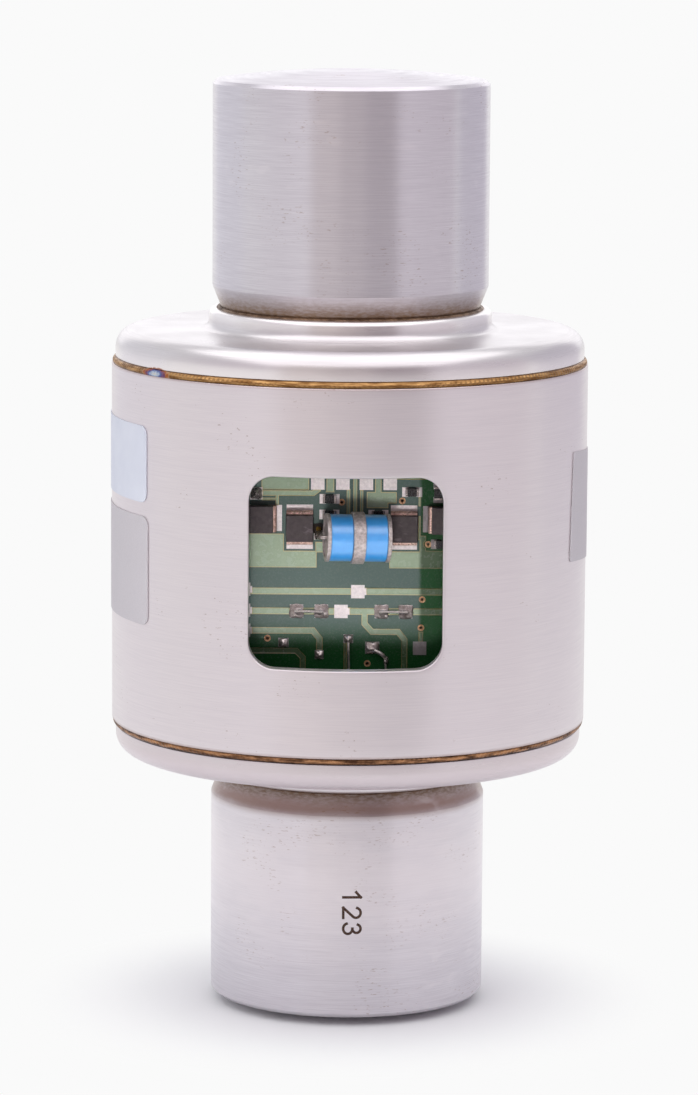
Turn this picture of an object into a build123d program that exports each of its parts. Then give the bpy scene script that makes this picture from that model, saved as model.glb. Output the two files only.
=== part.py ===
from build123d import *
import os
from math import cos, degrees, radians, sin, sqrt

# A column load cell: one turned column with a crowned head and foot, sealed in a
# welded can with a square window, a circuit board behind the window and a cable
# gland at the back. Millimetres. The load axis is Z, the origin is the lowest point
# of the lower crown, and the window faces -Y. Heights named "rise" are counted from
# the middle plane of the cell, which the upper and lower halves mirror in.

# Overall
HEIGHT = 150.0
MID = HEIGHT / 2

# Column
STUB_R = 22.0
CROWN_R = 150.0
LAND_R = 5.0
RIM_CHAMFER = 0.6
STEP_ABOVE_SHELL = 12.3
STEP_EDGE_R = 0.25
NECK_DROP = 1.3
NECK_CONE = 3.3
SHOULDER_INSET = 6.7
SHOULDER_EDGE_R = 0.8
GAUGE_DROP = 4.7
GAUGE_FILLET = 4.0
GAUGE_FLAT_DEPTH = 1.0
GAUGE_FLAT_HALF = 12.0

# Shell and window
SHELL_BEFORE_BOARD = 13.0
SHELL_WALL = 2.0
SHELL_HALF = 28.7
WINDOW_W = 29.8
WINDOW_H = 29.8
WINDOW_CORNER = 4.0
WINDOW_TURN = -0.75
FIT = 0.05

# Covers, turned rings welded to the shell and to the neck
COVER_INSET = 0.6
COVER_WALL = 1.6
COVER_SHOULDER_R = 3.0
COVER_RISE = 5.4
COLLAR_WALL = 1.8
COLLAR_RISE = 3.2
COLLAR_FILLET = 1.4
COLLAR_ROUND = 0.9
COLLAR_BEVEL = 0.6
REGISTER_DEPTH = 2.0
REGISTER_WALL = 1.5

# Weld beads
RIM_WELD = 1.0
RIM_WELD_INSET = 0.2
WELD_CROWN = 0.2

# Circuit board, flat and upright in front of the column
BOARD_SIDE_GAP = 0.7
BOARD_END_GAP = 2.5
BOARD_T = 1.6
BOARD_CORNER = 1.5
COPPER_T = 0.07
EDGE_MARGIN = 0.6

# Spacers and screws that carry the board on the column
SPACER_FLAT_DEPTH = 1.7
SPACER_FLAT_HALF = 4.5
SPACER_L = 4.4
SPACER_X = 4.5
SPACER_INSET = 2.2
SPACER_AF = 5.5
SCREW_R = 1.5
SCREW_HEAD_R = 2.75
SCREW_HEAD_H = 1.7
SCREW_SLOT_W = 0.8
SCREW_GRIP = 2.6
STUD_LENGTH = 4.0
HOLE_SPARE = 0.4

# Diodes: moulded body with a folded strip at each end
DIODE_W = 4.3
DIODE_L = 4.3
DIODE_H = 2.0
DIODE_LIFT = 0.35
DIODE_DRAFT = 5.0
DIODE_SPAN = 5.3
STRIP_W = 4.1
STRIP_T = 0.25
STRIP_FOOT = 1.3
STRIP_BITE = 0.35
DIODE_PAD_L = 6.95

# Chip resistors
CHIP_L = 2.1
CHIP_W = 1.3
CHIP_H = 0.5
CHIP_END = 0.34
CHIP_PAD_L = 3.1
CHIP_PAD_W = 1.5
CHIP_PAD_GAP = 1.2

# Surge arrester: two ceramic sleeves between three electrodes
ARRESTER_X = 1.32
ARRESTER_V = 4.64
ARRESTER_AXIS_H = 4.9
ARRESTER_YAW = 7.0
ARRESTER_TILT = 1.5
SLEEVE_R = 3.65
SLEEVE_BORE = 2.4
SLEEVE_L = 3.45
RING_R = 4.05
RING_W = 1.9
RING_BORE = 1.8
CAP_R = 3.75
CAP_T = 0.6
CAP_RECESS_R = 3.1
CAP_RECESS = 0.2
LEAD_R = 0.4
LEAD_BEND = 0.8
LEAD_STUB = 0.95
LEAD_TAIL = 0.9

# Solder
MOUND_H = 0.5
PAD = 2.1
PAD_TAB_L = 0.28
PAD_TAB_W = 1.05
LINK_WIRE_R = 0.22
LINK_WIRE_H = 0.4
SIGNAL_WIRE_R = 0.18
EYELET_R = 0.52
EYELET_BORE = 0.27
EYELET_LIP = 0.05

# Strain gauges and their leads
GAUGE_W = 8.0
GAUGE_H = 12.0
GAUGE_T = 0.08
TAB_W = 3.2
TAB_H = 1.4
TAB_T = 0.12
TAB_DROP = 4.5
GAUGE_LEAD_R = 0.5
SIDE_LEAD_GAP = 4.5
BACK_LEAD_INSET = 1.0
LEAD_BEND_R = 4.0
BACK_BEND_R = 8.0
BACK_LEAD_DROP = 5.0

# Cable gland at the back, its axis along +Y
GLAND_RISE = -12.0
BOSS_R = 10.0
BOSS_IN = 4.0
BOSS_OUT = 5.0
BOSS_CHAMFER = 0.8
BOSS_WELD = 1.9
BOSS_THREAD_R = 6.0
WASHER_R = 9.2
WASHER_T = 1.0
GLAND_AF = 19.0
GLAND_HEX_L = 5.0
GLAND_THREAD_R = 7.0
GLAND_THREAD_L = 8.0
GLAND_BORE_R = 3.4
SEAL_R = 5.1
SEAL_BORE_R = 3.2
SEAL_L = 7.8
SEAL_SEAT = 1.0
NUT_GAP = 1.0
NUT_HEX_L = 6.0
NUT_NOSE_R = 5.4
NUT_NOSE_L = 5.5
NUT_DOME_R = 2.0
NUT_LIP_R = 0.8
NUT_MOUTH_R = 3.6

# Stickers on the shell: rise of the middle, arc length and height, and the azimuth of
# the end nearest the window in degrees
LABEL_T = 0.12
LABEL_CORNER = 1.6
LABEL_GLUE = 0.02
UPPER_LABEL = (14.6, 40.0, 12.1)
LOWER_LABEL = (-2.2, 44.0, 17.2)
SIDE_LABEL = (7.5, 44.0, 16.8)
UPPER_LABEL_AZIMUTH = -56.1
LOWER_LABEL_AZIMUTH = -55.5
SIDE_LABEL_AZIMUTH = 66.8

# Places on the board, as x and height above the board's centre
ACROSS_DIODES = [(-13.88, 6.95), (14.97, 6.9)]
UPRIGHT_DIODES = [(-7.64, 5.6), (8.55, 5.58)]
ACROSS_CHIPS = [(-3.02, 10.0), (-3.05, 7.55), (4.56, 7.55), (9.78, 11.15), (14.3, 2.98)]
UPRIGHT_CHIPS = [(13.85, 11.0)]
EYELETS = [
    (-1.13, 9.49),
    (8.26, 9.75),
    (12.34, 2.95),
    (11.48, -5.75),
    (11.31, -10.2),
    (-12.59, -12.0),
    (3.0, -15.9),
]
TOP_PADS = [(-4.87, 12.48), (-0.98, 12.48), (2.67, 12.48), (6.37, 12.48)]
TABBED_PADS = [(1.46, -4.56), (-1.15, -7.7), (-16.33, -4.3), (-16.33, -7.6), (-16.33, -10.76)]
PLAIN_PADS = [(11.15, -13.45)]
LINK_PADS = [(-8.07, -7.68), (-4.22, -7.68), (5.16, -7.68), (8.94, -7.68)]
SOLDER_PADS = [
    (-4.5, -14.55, 1.4, 1.4),
    (-10.1, -12.65, 1.6, 1.4),
    (0.02, -12.0, 1.5, 1.35),
    (3.76, -13.4, 2.2, 1.9),
    (-14.4, 10.8, 1.9, 1.9),
]
LEAD_PAD_W = 1.7
LEAD_PAD_H = 2.5
LEAD_PAD_R = 0.9

# Sizes that follow from the ones above
NECK_R = STUB_R - NECK_DROP
GAUGE_R = NECK_R - GAUGE_DROP
GAUGE_FLAT = GAUGE_R - GAUGE_FLAT_DEPTH
SPACER_FLAT = NECK_R - SPACER_FLAT_DEPTH
BOARD_BACK = SPACER_FLAT + SPACER_L
BOARD_FRONT = BOARD_BACK + BOARD_T
SHELL_R = BOARD_FRONT + SHELL_BEFORE_BOARD
SHELL_BORE = SHELL_R - SHELL_WALL
COVER_R = SHELL_R - COVER_INSET
REGISTER_R = SHELL_BORE - FIT
REGISTER_BORE = REGISTER_R - REGISTER_WALL
STEP_RISE = SHELL_HALF + STEP_ABOVE_SHELL
SHOULDER_RISE = SHELL_HALF - SHOULDER_INSET
SPACER_RISE = SHELL_HALF - SPACER_INSET
SKIRT_FOOT = SHELL_HALF + RIM_WELD
COVER_TOP = SHELL_HALF + COVER_RISE
COLLAR_TOP = COVER_TOP + COLLAR_RISE
COLLAR_BORE = NECK_R + FIT
COLLAR_R = COLLAR_BORE + COLLAR_WALL
STUB_END = STUB_R - RIM_CHAMFER
BOARD_W = 2 * (sqrt(REGISTER_BORE**2 - BOARD_FRONT**2) - BOARD_SIDE_GAP)
BOARD_H = 2 * (COVER_TOP - COVER_WALL - BOARD_END_GAP)
SIDE_LEAD_OUT = GAUGE_R + SIDE_LEAD_GAP
BACK_LEAD_OUT = BOARD_W / 2 - BACK_LEAD_INSET
WIRE_PAD_V = SCREW_HEAD_R + PAD / 2 - SPACER_RISE
STRIP_EXIT = DIODE_LIFT + DIODE_H / 2
ARRESTER_HALF = RING_W / 2 + SLEEVE_L + CAP_T
GLAND_Z = MID + GLAND_RISE
BOSS_FACE = SHELL_R + BOSS_OUT
WASHER_FACE = BOSS_FACE + WASHER_T
HEX_FACE = WASHER_FACE + GLAND_HEX_L
THREAD_FACE = HEX_FACE + GLAND_THREAD_L
SEAL_FOOT = HEX_FACE + SEAL_SEAT
NUT_FOOT = HEX_FACE + NUT_GAP
NUT_SEAT = SEAL_FOOT + SEAL_L + FIT

# Tracks, each a width and the points of its middle line, and plain copper areas as
# the lowest and highest x and height
TRACK_END = BOARD_W / 2 - EDGE_MARGIN
TRACK_FOOT = -BOARD_H / 2 + EDGE_MARGIN
TRACK_HEAD = BOARD_H / 2 - EDGE_MARGIN
AREA_HEAD = 20.0
UPPER_LINE = -4.54
LOWER_LINE = -7.68
TRACKS = [
    (1.05, [(-TRACK_END, UPPER_LINE), (TRACK_END, UPPER_LINE)]),
    (1.05, [(-TRACK_END, LOWER_LINE), (TRACK_END, LOWER_LINE)]),
    (1.0, [(-TRACK_END, -10.76), (-5.49, -10.76), (-4.48, -12.0), (-4.48, -14.5)]),
    (0.95, [(2.53, LOWER_LINE), (2.53, -9.62), (3.69, -10.88), (7.8, -10.88), (8.75, -12.1), (8.75, TRACK_FOOT)]),
    (0.9, [(-TRACK_END, -13.95), (-8.1, -13.95), (-7.07, -15.0), (-7.07, -19.5), (-9.0, -21.5), (-9.0, TRACK_FOOT)]),
    (0.7, [(11.31, -10.2), (11.31, -12.6)]),
    (0.5, [(-0.45, -12.5), (-0.45, TRACK_FOOT)]),
    (0.85, [(-13.8, 10.86), (-5.55, 10.86), (-4.6, 11.6)]),
    (0.5, [(-11.15, 10.8), (-11.15, 9.0)]),
    (0.4, [(-13.6, 9.93), (-11.15, 9.93)]),
    (0.55, [(-0.1, 6.5), (-0.1, 11.6)]),
    (0.6, [(0.95, 6.5), (0.95, TRACK_HEAD)]),
    (0.5, [(1.95, 6.5), (1.95, 11.6)]),
    (0.4, [(7.3, 13.3), (14.0, 13.3), (18.0, 17.3), (18.0, TRACK_HEAD)]),
    (0.35, [(10.98, 3.6), (10.98, 7.4)]),
    (0.35, [(10.98, 8.9), (10.98, 10.4)]),
]
COPPER_AREAS = [
    (-TRACK_END, -0.8, -5.0, 4.5),
    (-5.1, 1.6, 1.5, 4.3),
    (6.3, -0.85, TRACK_END, 1.95),
    (10.95, 1.9, 12.0, 4.3),
    (-13.6, 11.4, -6.2, AREA_HEAD),
    (-3.65, 10.9, -2.25, AREA_HEAD),
    (2.75, 9.3, 7.4, 11.25),
    (2.75, 8.35, 6.4, 9.4),
    (3.95, 11.2, 5.1, AREA_HEAD),
]
CLEARING = 0.3

# The board's front face: x to the right, y up, z out of the board towards the window
FACE = Plane(origin=(0, -BOARD_FRONT, MID), x_dir=(1, 0, 0), z_dir=(0, -1, 0))
# A plane whose x is the radius and whose y is the height above the middle plane
SECTION = Plane(origin=(0, 0, MID), x_dir=(1, 0, 0), z_dir=(0, -1, 0))
# The gland's section: x is the radius, y the distance from the load axis along +Y
GLAND_AXIS = Axis((0, 0, GLAND_Z), (0, 1, 0))
GLAND_SECTION = Plane(origin=(0, 0, GLAND_Z), x_dir=(1, 0, 0), z_dir=(0, 0, 1))


def turned(corners, radii):
    """A ring turned about the load axis from the corners of its section, each a radius
    and a rise, with a rounding radius for each corner."""
    outline = FilletPolyline(*corners, radius=radii, close=True)
    return revolve(SECTION * make_face(outline), Axis.Z)


def gland_turned(corners):
    """A piece turned about the gland's axis from the corners of its section."""
    outline = Polyline(*corners, close=True)
    return revolve(GLAND_SECTION * make_face(outline), GLAND_AXIS)


def lower(piece):
    """The piece's mirror image in the middle plane, for the lower half of the cell."""
    return mirror(piece, about=Plane.XY.offset(MID))


def front_prism(sketch, near, far):
    """A prism of the sketch, drawn in the window's face, from near to far in front of
    the load axis."""
    return extrude(Plane(SECTION.location * Location((0, 0, near))) * sketch, far - near)


def crown_drop(radius):
    """How far the crown has fallen below the small land at its middle at this radius."""
    return sqrt(CROWN_R**2 - LAND_R**2) - sqrt(CROWN_R**2 - radius**2)


def load_column():
    rim = MID - crown_drop(STUB_END)
    flank = [
        (STUB_END, rim),
        (STUB_R, rim - RIM_CHAMFER),
        (STUB_R, STEP_RISE),
        (NECK_R, STEP_RISE - NECK_CONE),
        (NECK_R, SHOULDER_RISE),
        (GAUGE_R, SHOULDER_RISE),
    ]
    radii = [0, STEP_EDGE_R, 0, SHOULDER_EDGE_R, GAUGE_FILLET]
    mirrored = [(r, -rise) for r, rise in reversed(flank)]
    side = FilletPolyline(*flank, *mirrored, radius=radii + radii[::-1])
    half = STUB_END / 2
    head = ThreePointArc((LAND_R, MID), (half, MID - crown_drop(half)), (STUB_END, rim))
    foot = ThreePointArc((LAND_R, -MID), (half, crown_drop(half) - MID), (STUB_END, -rim))
    middle = Polyline((LAND_R, -MID), (0, -MID), (0, MID), (LAND_R, MID))
    column = revolve(SECTION * make_face([side, head, foot, middle]), Axis.Z)
    for quarter in range(4):
        flat = front_prism(Rectangle(2 * GAUGE_R, 2 * GAUGE_FLAT_HALF), GAUGE_FLAT, GAUGE_R + 1)
        column -= Rot(0, 0, 90 * quarter) * flat
    for side_sign in (-1, 1):
        height = SPACER_RISE + SPACER_FLAT_HALF - SHOULDER_RISE + FIT
        middle = side_sign * (SHOULDER_RISE - FIT + height / 2)
        flat = Pos(0, middle) * Rectangle(2 * NECK_R, height)
        column -= front_prism(flat, SPACER_FLAT, NECK_R + 1)
    depth = STUD_LENGTH + HOLE_SPARE
    for x, rise in spacer_places():
        column -= front_prism(Pos(x, rise) * Circle(SCREW_R + FIT), SPACER_FLAT - depth, NECK_R)
    return column


def upper_cover():
    corners = [
        (COVER_R, SKIRT_FOOT),
        (COVER_R, COVER_TOP),
        (COLLAR_R, COVER_TOP),
        (COLLAR_R, COLLAR_TOP),
        (COLLAR_BORE + COLLAR_BEVEL, COLLAR_TOP),
        (COLLAR_BORE, COLLAR_TOP - COLLAR_BEVEL),
        (COLLAR_BORE, COVER_TOP - COVER_WALL),
        (REGISTER_BORE, COVER_TOP - COVER_WALL),
        (REGISTER_BORE, SHELL_HALF - REGISTER_DEPTH),
        (REGISTER_R, SHELL_HALF - REGISTER_DEPTH),
        (REGISTER_R, SKIRT_FOOT),
    ]
    inner_r = COVER_SHOULDER_R - COVER_WALL
    radii = [0, COVER_SHOULDER_R, COLLAR_FILLET, COLLAR_ROUND, 0, 0, 0, inner_r, 0, 0, 0]
    return turned(corners, radii)


def upper_rim_weld():
    """The bead between the shell's edge and the cover's skirt, a little proud at its middle."""
    inner = REGISTER_R + FIT
    foot = (SHELL_R - RIM_WELD_INSET, SHELL_HALF)
    top = (COVER_R - FIT, SKIRT_FOOT)
    middle = ((foot[0] + top[0]) / 2 + WELD_CROWN, SHELL_HALF + RIM_WELD / 2)
    bulge = ThreePointArc(foot, middle, top)
    rest = Polyline(top, (inner, SKIRT_FOOT), (inner, SHELL_HALF), foot)
    return revolve(SECTION * make_face([bulge, rest]), Axis.Z)


def upper_collar_weld():
    """The bead in the bevel between the collar and the neck."""
    bevel_foot = COLLAR_TOP - COLLAR_BEVEL
    edge = (COLLAR_BORE + COLLAR_BEVEL, COLLAR_TOP)
    top = (NECK_R, COLLAR_TOP + COLLAR_BEVEL / 2)
    middle = (NECK_R + COLLAR_BEVEL * 0.6, COLLAR_TOP + COLLAR_BEVEL * 0.35)
    bulge = ThreePointArc(edge, middle, top)
    rest = Polyline(top, (NECK_R, bevel_foot), (COLLAR_BORE, bevel_foot), edge)
    return revolve(SECTION * make_face([bulge, rest]), Axis.Z)


def shell():
    height = 2 * SHELL_HALF
    tube = Pos(0, 0, MID) * (Cylinder(SHELL_R, height) - Cylinder(SHELL_BORE, height))
    window = front_prism(RectangleRounded(WINDOW_W, WINDOW_H, WINDOW_CORNER), SHELL_R / 2, SHELL_R + 1)
    gland_hole = extrude(Plane.XZ.offset(-SHELL_R / 2) * Pos(0, GLAND_Z) * Circle(BOSS_R + FIT), -SHELL_R)
    return tube - Rot(0, 0, WINDOW_TURN) * window - gland_hole


def spacer_places():
    return [(x, rise) for rise in (-SPACER_RISE, SPACER_RISE) for x in (-SPACER_X, SPACER_X)]


def circuit_board():
    outline = RectangleRounded(BOARD_W, BOARD_H, BOARD_CORNER)
    for x, rise in spacer_places():
        outline -= Pos(x, rise) * Circle(SCREW_R + 2 * FIT)
    for x, v in EYELETS:
        outline -= Pos(x, v) * Circle(EYELET_R)
    for x, v in lead_places():
        outline -= Pos(x, v) * Circle(LEAD_R + FIT)
    return extrude(FACE * outline, -BOARD_T)


def diode_places():
    return [(x, v, 90) for x, v in ACROSS_DIODES] + [(x, v, 0) for x, v in UPRIGHT_DIODES]


def chip_places():
    return [(x, v, 0) for x, v in ACROSS_CHIPS] + [(x, v, 90) for x, v in UPRIGHT_CHIPS]


def rectangle_between(x0, v0, x1, v1):
    return Pos((x0 + x1) / 2, (v0 + v1) / 2) * Rectangle(x1 - x0, v1 - v0)


def end_pads(x, v, turn, length, width, gap):
    """Two pads of a component that lies along its own x, gap apart, turned on the board."""
    pad = Rectangle((length - gap) / 2, width)
    shift = (length + gap) / 4
    return Pos(x, v) * Rot(0, 0, turn) * (Pos(-shift, 0) * pad + Pos(shift, 0) * pad)


def lead_places():
    """Where the arrester's three leads meet the board: the bent one at the left end, and
    those under the ring and under the right cap."""
    yaw = radians(ARRESTER_YAW)
    tilt = radians(ARRESTER_TILT)
    left = ARRESTER_HALF + LEAD_STUB
    right = ARRESTER_HALF - CAP_T / 2
    return [
        (ARRESTER_X - left * cos(yaw), ARRESTER_V + left * sin(tilt)),
        (ARRESTER_X - RING_R * sin(yaw), ARRESTER_V),
        (ARRESTER_X + right * cos(yaw) - CAP_R * sin(yaw), ARRESTER_V - right * sin(tilt)),
    ]


def pad_sketch():
    """Every bare pad on the board's face."""
    pads = Sketch()
    for x, v in TOP_PADS + PLAIN_PADS + LINK_PADS:
        pads += Pos(x, v) * Rectangle(PAD, PAD)
    for x, v in TABBED_PADS:
        tab = Pos((PAD + PAD_TAB_L) / 2, 0) * Rectangle(PAD_TAB_L, PAD_TAB_W)
        pads += Pos(x, v) * (Rectangle(PAD, PAD) + tab)
    for x, v, width, height in SOLDER_PADS:
        pads += Pos(x, v) * Rectangle(width, height)
    for x, v, turn in diode_places():
        pads += end_pads(x, v, turn + 90, DIODE_PAD_L, STRIP_W, DIODE_SPAN - 2 * STRIP_FOOT)
    for x, v, turn in chip_places():
        pads += end_pads(x, v, turn, CHIP_PAD_L, CHIP_PAD_W, CHIP_PAD_GAP)
    for x, v in signal_ends():
        pads += Pos(x, v) * Rectangle(PAD / 2, PAD / 2)
    for index, (x, v) in enumerate(lead_places()):
        pad = Circle(LEAD_PAD_R) if index else Rectangle(LEAD_PAD_W, LEAD_PAD_H)
        pads += Pos(x, v) * (pad - Circle(LEAD_R + FIT))
    return pads


def component_keepouts():
    """The ground under the diodes, which the copper areas keep clear of."""
    cleared = Sketch()
    for x, v, turn in diode_places():
        area = Rectangle(DIODE_PAD_L + 2 * CLEARING, DIODE_W + 2 * CLEARING)
        cleared += Pos(x, v) * Rot(0, 0, turn + 90) * area
    for x, v, turn in chip_places():
        area = Rectangle(CHIP_PAD_L + 2 * CLEARING, CHIP_PAD_W + 2 * CLEARING)
        cleared += Pos(x, v) * Rot(0, 0, turn) * area
    x, v = lead_places()[0]
    cleared += Pos(x, v) * Rectangle(LEAD_PAD_W + 2 * CLEARING, LEAD_PAD_H + 2 * CLEARING)
    for x, v in lead_places()[1:]:
        cleared += Pos(x, v) * Circle(LEAD_PAD_R + CLEARING)
    for x, v in TOP_PADS:
        cleared += Pos(x, v) * Rectangle(PAD + 2 * CLEARING, PAD + 2 * CLEARING)
    for x, v in spacer_places():
        cleared += Pos(x, v) * Circle(SCREW_HEAD_R + CLEARING)
    return cleared


def board_tracks():
    """The copper lines and areas on the board's face, clear of the pads and eyelets."""
    areas = Sketch()
    for corners in COPPER_AREAS:
        areas += rectangle_between(*corners)
    areas -= component_keepouts()
    for width, points in TRACKS:
        areas += trace(Polyline(*points), width)
    areas -= pad_sketch()
    for x, v in EYELETS:
        areas -= Pos(x, v) * Circle(EYELET_R + CLEARING / 2)
    return extrude(FACE * areas, COPPER_T)


def board_pads():
    return extrude(FACE * pad_sketch(), COPPER_T)


def via_eyelets():
    tube = Circle(EYELET_R) - Circle(EYELET_BORE)
    rings = [Pos(x, v, EYELET_LIP) * extrude(tube, -BOARD_T - 2 * EYELET_LIP) for x, v in EYELETS]
    return FACE * Compound(rings)


def diode_strip():
    """One folded terminal, in a frame whose y runs along the diode and z off the board."""
    end = DIODE_SPAN / 2 - STRIP_T / 2
    foot_h = COPPER_T + STRIP_T / 2
    path = FilletPolyline(
        (DIODE_L / 2 - STRIP_BITE, STRIP_EXIT),
        (end, STRIP_EXIT),
        (end, foot_h),
        (end - STRIP_FOOT, foot_h),
        radius=STRIP_T,
    )
    strip = extrude(Plane.YZ * trace(path, STRIP_T), STRIP_W / 2, both=True)
    return strip


def diode_body():
    """The moulded body, widest at its parting line, cut out where the strips enter."""
    sketch = Rectangle(DIODE_W, DIODE_L)
    top = extrude(sketch, DIODE_H / 2, taper=DIODE_DRAFT)
    body = Pos(0, 0, STRIP_EXIT) * (top + mirror(top, about=Plane.XY))
    strip = diode_strip()
    return body - strip - mirror(strip, about=Plane.XZ)


def diode_bodies():
    body = diode_body()
    return FACE * Compound([Pos(x, v) * Rot(0, 0, turn) * body for x, v, turn in diode_places()])


def diode_terminals():
    strip = diode_strip()
    pair = [strip, mirror(strip, about=Plane.XZ)]
    return FACE * Compound([Pos(x, v) * Rot(0, 0, turn) * s for x, v, turn in diode_places() for s in pair])


def chip_bodies():
    block = Box(CHIP_L - 2 * CHIP_END, CHIP_W, CHIP_H)
    height = COPPER_T + CHIP_H / 2
    return FACE * Compound([Pos(x, v, height) * Rot(0, 0, turn) * block for x, v, turn in chip_places()])


def chip_ends():
    block = Box(CHIP_END, CHIP_W, CHIP_H)
    shift = (CHIP_L - CHIP_END) / 2
    height = COPPER_T + CHIP_H / 2
    ends = []
    for x, v, turn in chip_places():
        for side_shift in (-shift, shift):
            ends.append(Pos(x, v, height) * Rot(0, 0, turn) * Pos(side_shift, 0) * block)
    return FACE * Compound(ends)


def arrester_place():
    """The arrester's own frame, its z along the axis towards the right end. The left end
    stands further off the board and a little higher than the right."""
    yaw = radians(ARRESTER_YAW)
    tilt = radians(ARRESTER_TILT)
    along = Vector(cos(yaw) * cos(tilt), -sin(tilt), -sin(yaw))
    origin = (ARRESTER_X, ARRESTER_V, ARRESTER_AXIS_H)
    return FACE.location * Plane(origin=origin, z_dir=along).location


def arrester_disc(radius, bore, start, length):
    ring = Cylinder(radius, length, align=(Align.CENTER, Align.CENTER, Align.MIN))
    if bore:
        ring -= Cylinder(bore, length, align=(Align.CENTER, Align.CENTER, Align.MIN))
    return Pos(0, 0, start) * ring


def arrester_sleeves():
    right = arrester_disc(SLEEVE_R, SLEEVE_BORE, RING_W / 2, SLEEVE_L)
    return arrester_place() * Compound([right, mirror(right, about=Plane.XY)])


def arrester_electrodes():
    ring = arrester_disc(RING_R, RING_BORE, -RING_W / 2, RING_W)
    inner = RING_W / 2 + SLEEVE_L
    cap = arrester_disc(CAP_R, 0, inner, CAP_T)
    cap -= arrester_disc(CAP_RECESS_R, 0, inner + CAP_T - CAP_RECESS, CAP_RECESS)
    return arrester_place() * Compound([ring, cap, mirror(cap, about=Plane.XY)])


def arrester_leads():
    """Three leads through the board: the left one leaves the cap's middle and bends down,
    the others are posts under the ring and the right cap."""
    place = arrester_place()
    tail = BOARD_T + LEAD_TAIL
    first = (place * Pos(0, 0, CAP_RECESS - ARRESTER_HALF)).position
    corner = (place * Pos(0, 0, -ARRESTER_HALF - LEAD_STUB)).position
    end = Vector(corner.X, tail - BOARD_FRONT, corner.Z)
    path = FilletPolyline(first, corner, end, radius=LEAD_BEND)
    leads = [sweep(Plane(origin=first, z_dir=corner - first) * Circle(LEAD_R), path)]
    length = ARRESTER_AXIS_H + tail
    post = Pos(0, 0, -tail) * Cylinder(LEAD_R, length, align=(Align.CENTER, Align.CENTER, Align.MIN))
    for (x, v), radius, along in zip(lead_places()[1:], (RING_R, CAP_R), (0, ARRESTER_HALF - CAP_T / 2)):
        electrode = place * arrester_disc(radius, 0, along - 2 * LEAD_R, 4 * LEAD_R)
        cut = FACE * Pos(x, v) * post - electrode
        leads.append(cut.solids().sort_by(Axis.Y)[-1])
    return Compound(leads)


def mound(width, height, rise):
    """Solder on a rectangular pad: the pad's prism under a ball that passes through its
    corners at the foot and stands highest at the middle."""
    corner = sqrt(width**2 + height**2) / 2
    ball_r = (corner**2 + rise**2) / (2 * rise)
    ball = Pos(0, 0, rise - ball_r) * Sphere(ball_r)
    return extrude(Rectangle(width, height), rise) & ball


def link_wire_ends():
    return [(LINK_PADS[0], LINK_PADS[1]), (LINK_PADS[2], LINK_PADS[3])]


def link_wires():
    """Two bare wires, each soldered across a pair of pads."""
    wires = []
    for (x0, v0), (x1, v1) in link_wire_ends():
        rod = Rot(0, 90, 0) * Cylinder(LINK_WIRE_R, x1 - x0)
        wires.append(Pos((x0 + x1) / 2, (v0 + v1) / 2, LINK_WIRE_H) * rod)
    return FACE * Compound(wires)


def signal_ends():
    """Where the two thin wires at the foot of the window end, lower on the board."""
    return [(SOLDER_PADS[2][0], WIRE_PAD_V), (SOLDER_PADS[3][0] + PAD, WIRE_PAD_V)]


def signal_wires():
    """Two thin bare wires that run down the board from their solder to their end pads."""
    height = COPPER_T + SIGNAL_WIRE_R
    b_x, b_v = SOLDER_PADS[2][0], SOLDER_PADS[2][1]
    c_x, c_v = SOLDER_PADS[3][0], SOLDER_PADS[3][1]
    (end_b_x, end_b_v), (end_c_x, end_c_v) = signal_ends()
    paths = [
        Line((b_x, b_v, height), (end_b_x, end_b_v, height)),
        FilletPolyline((c_x, c_v, height), (end_c_x, c_v, height), (end_c_x, end_c_v, height), radius=1.2),
    ]
    wires = []
    for path in paths:
        profile = Plane(origin=path @ 0, z_dir=path % 0) * Circle(SIGNAL_WIRE_R)
        wires.append(sweep(profile, path))
    return FACE * Compound(wires)


def solder_joints():
    """Solder on the linked pads, the wire pads and the bent lead's pad."""
    joints = [Pos(x, v, COPPER_T) * mound(PAD, PAD, MOUND_H) for x, v in LINK_PADS]
    for x, v, width, height in SOLDER_PADS:
        joints.append(Pos(x, v, COPPER_T) * mound(width, height, MOUND_H))
    x, v = lead_places()[0]
    joints.append(Pos(x, v, COPPER_T) * mound(LEAD_PAD_W, LEAD_PAD_H, 2 * MOUND_H))
    for x, v in signal_ends():
        joints.append(Pos(x, v, COPPER_T) * mound(PAD / 2, PAD / 2, MOUND_H))
    placed = [FACE * joint for joint in joints]
    wires = link_wires().solids() + signal_wires().solids() + arrester_leads().solids()
    for wire in wires:
        placed = [joint - wire for joint in placed]
    return Compound([joint.solids().sort_by(SortBy.VOLUME)[-1] for joint in placed])


def board_spacers():
    """Hexagonal spacers, each with a stud in the column and a hole for its screw."""
    length = BOARD_BACK - SPACER_FLAT
    pieces = []
    for x, rise in spacer_places():
        at = Pos(x, rise)
        body = front_prism(at * RegularPolygon(SPACER_AF / 2, 6, major_radius=False), SPACER_FLAT, BOARD_BACK)
        body += front_prism(at * Circle(SCREW_R), SPACER_FLAT - STUD_LENGTH, SPACER_FLAT)
        depth = min(SCREW_GRIP + HOLE_SPARE, length - HOLE_SPARE)
        body -= front_prism(at * Circle(SCREW_R + FIT), BOARD_BACK - depth, BOARD_BACK)
        pieces.append(body)
    return Compound(pieces)


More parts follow.
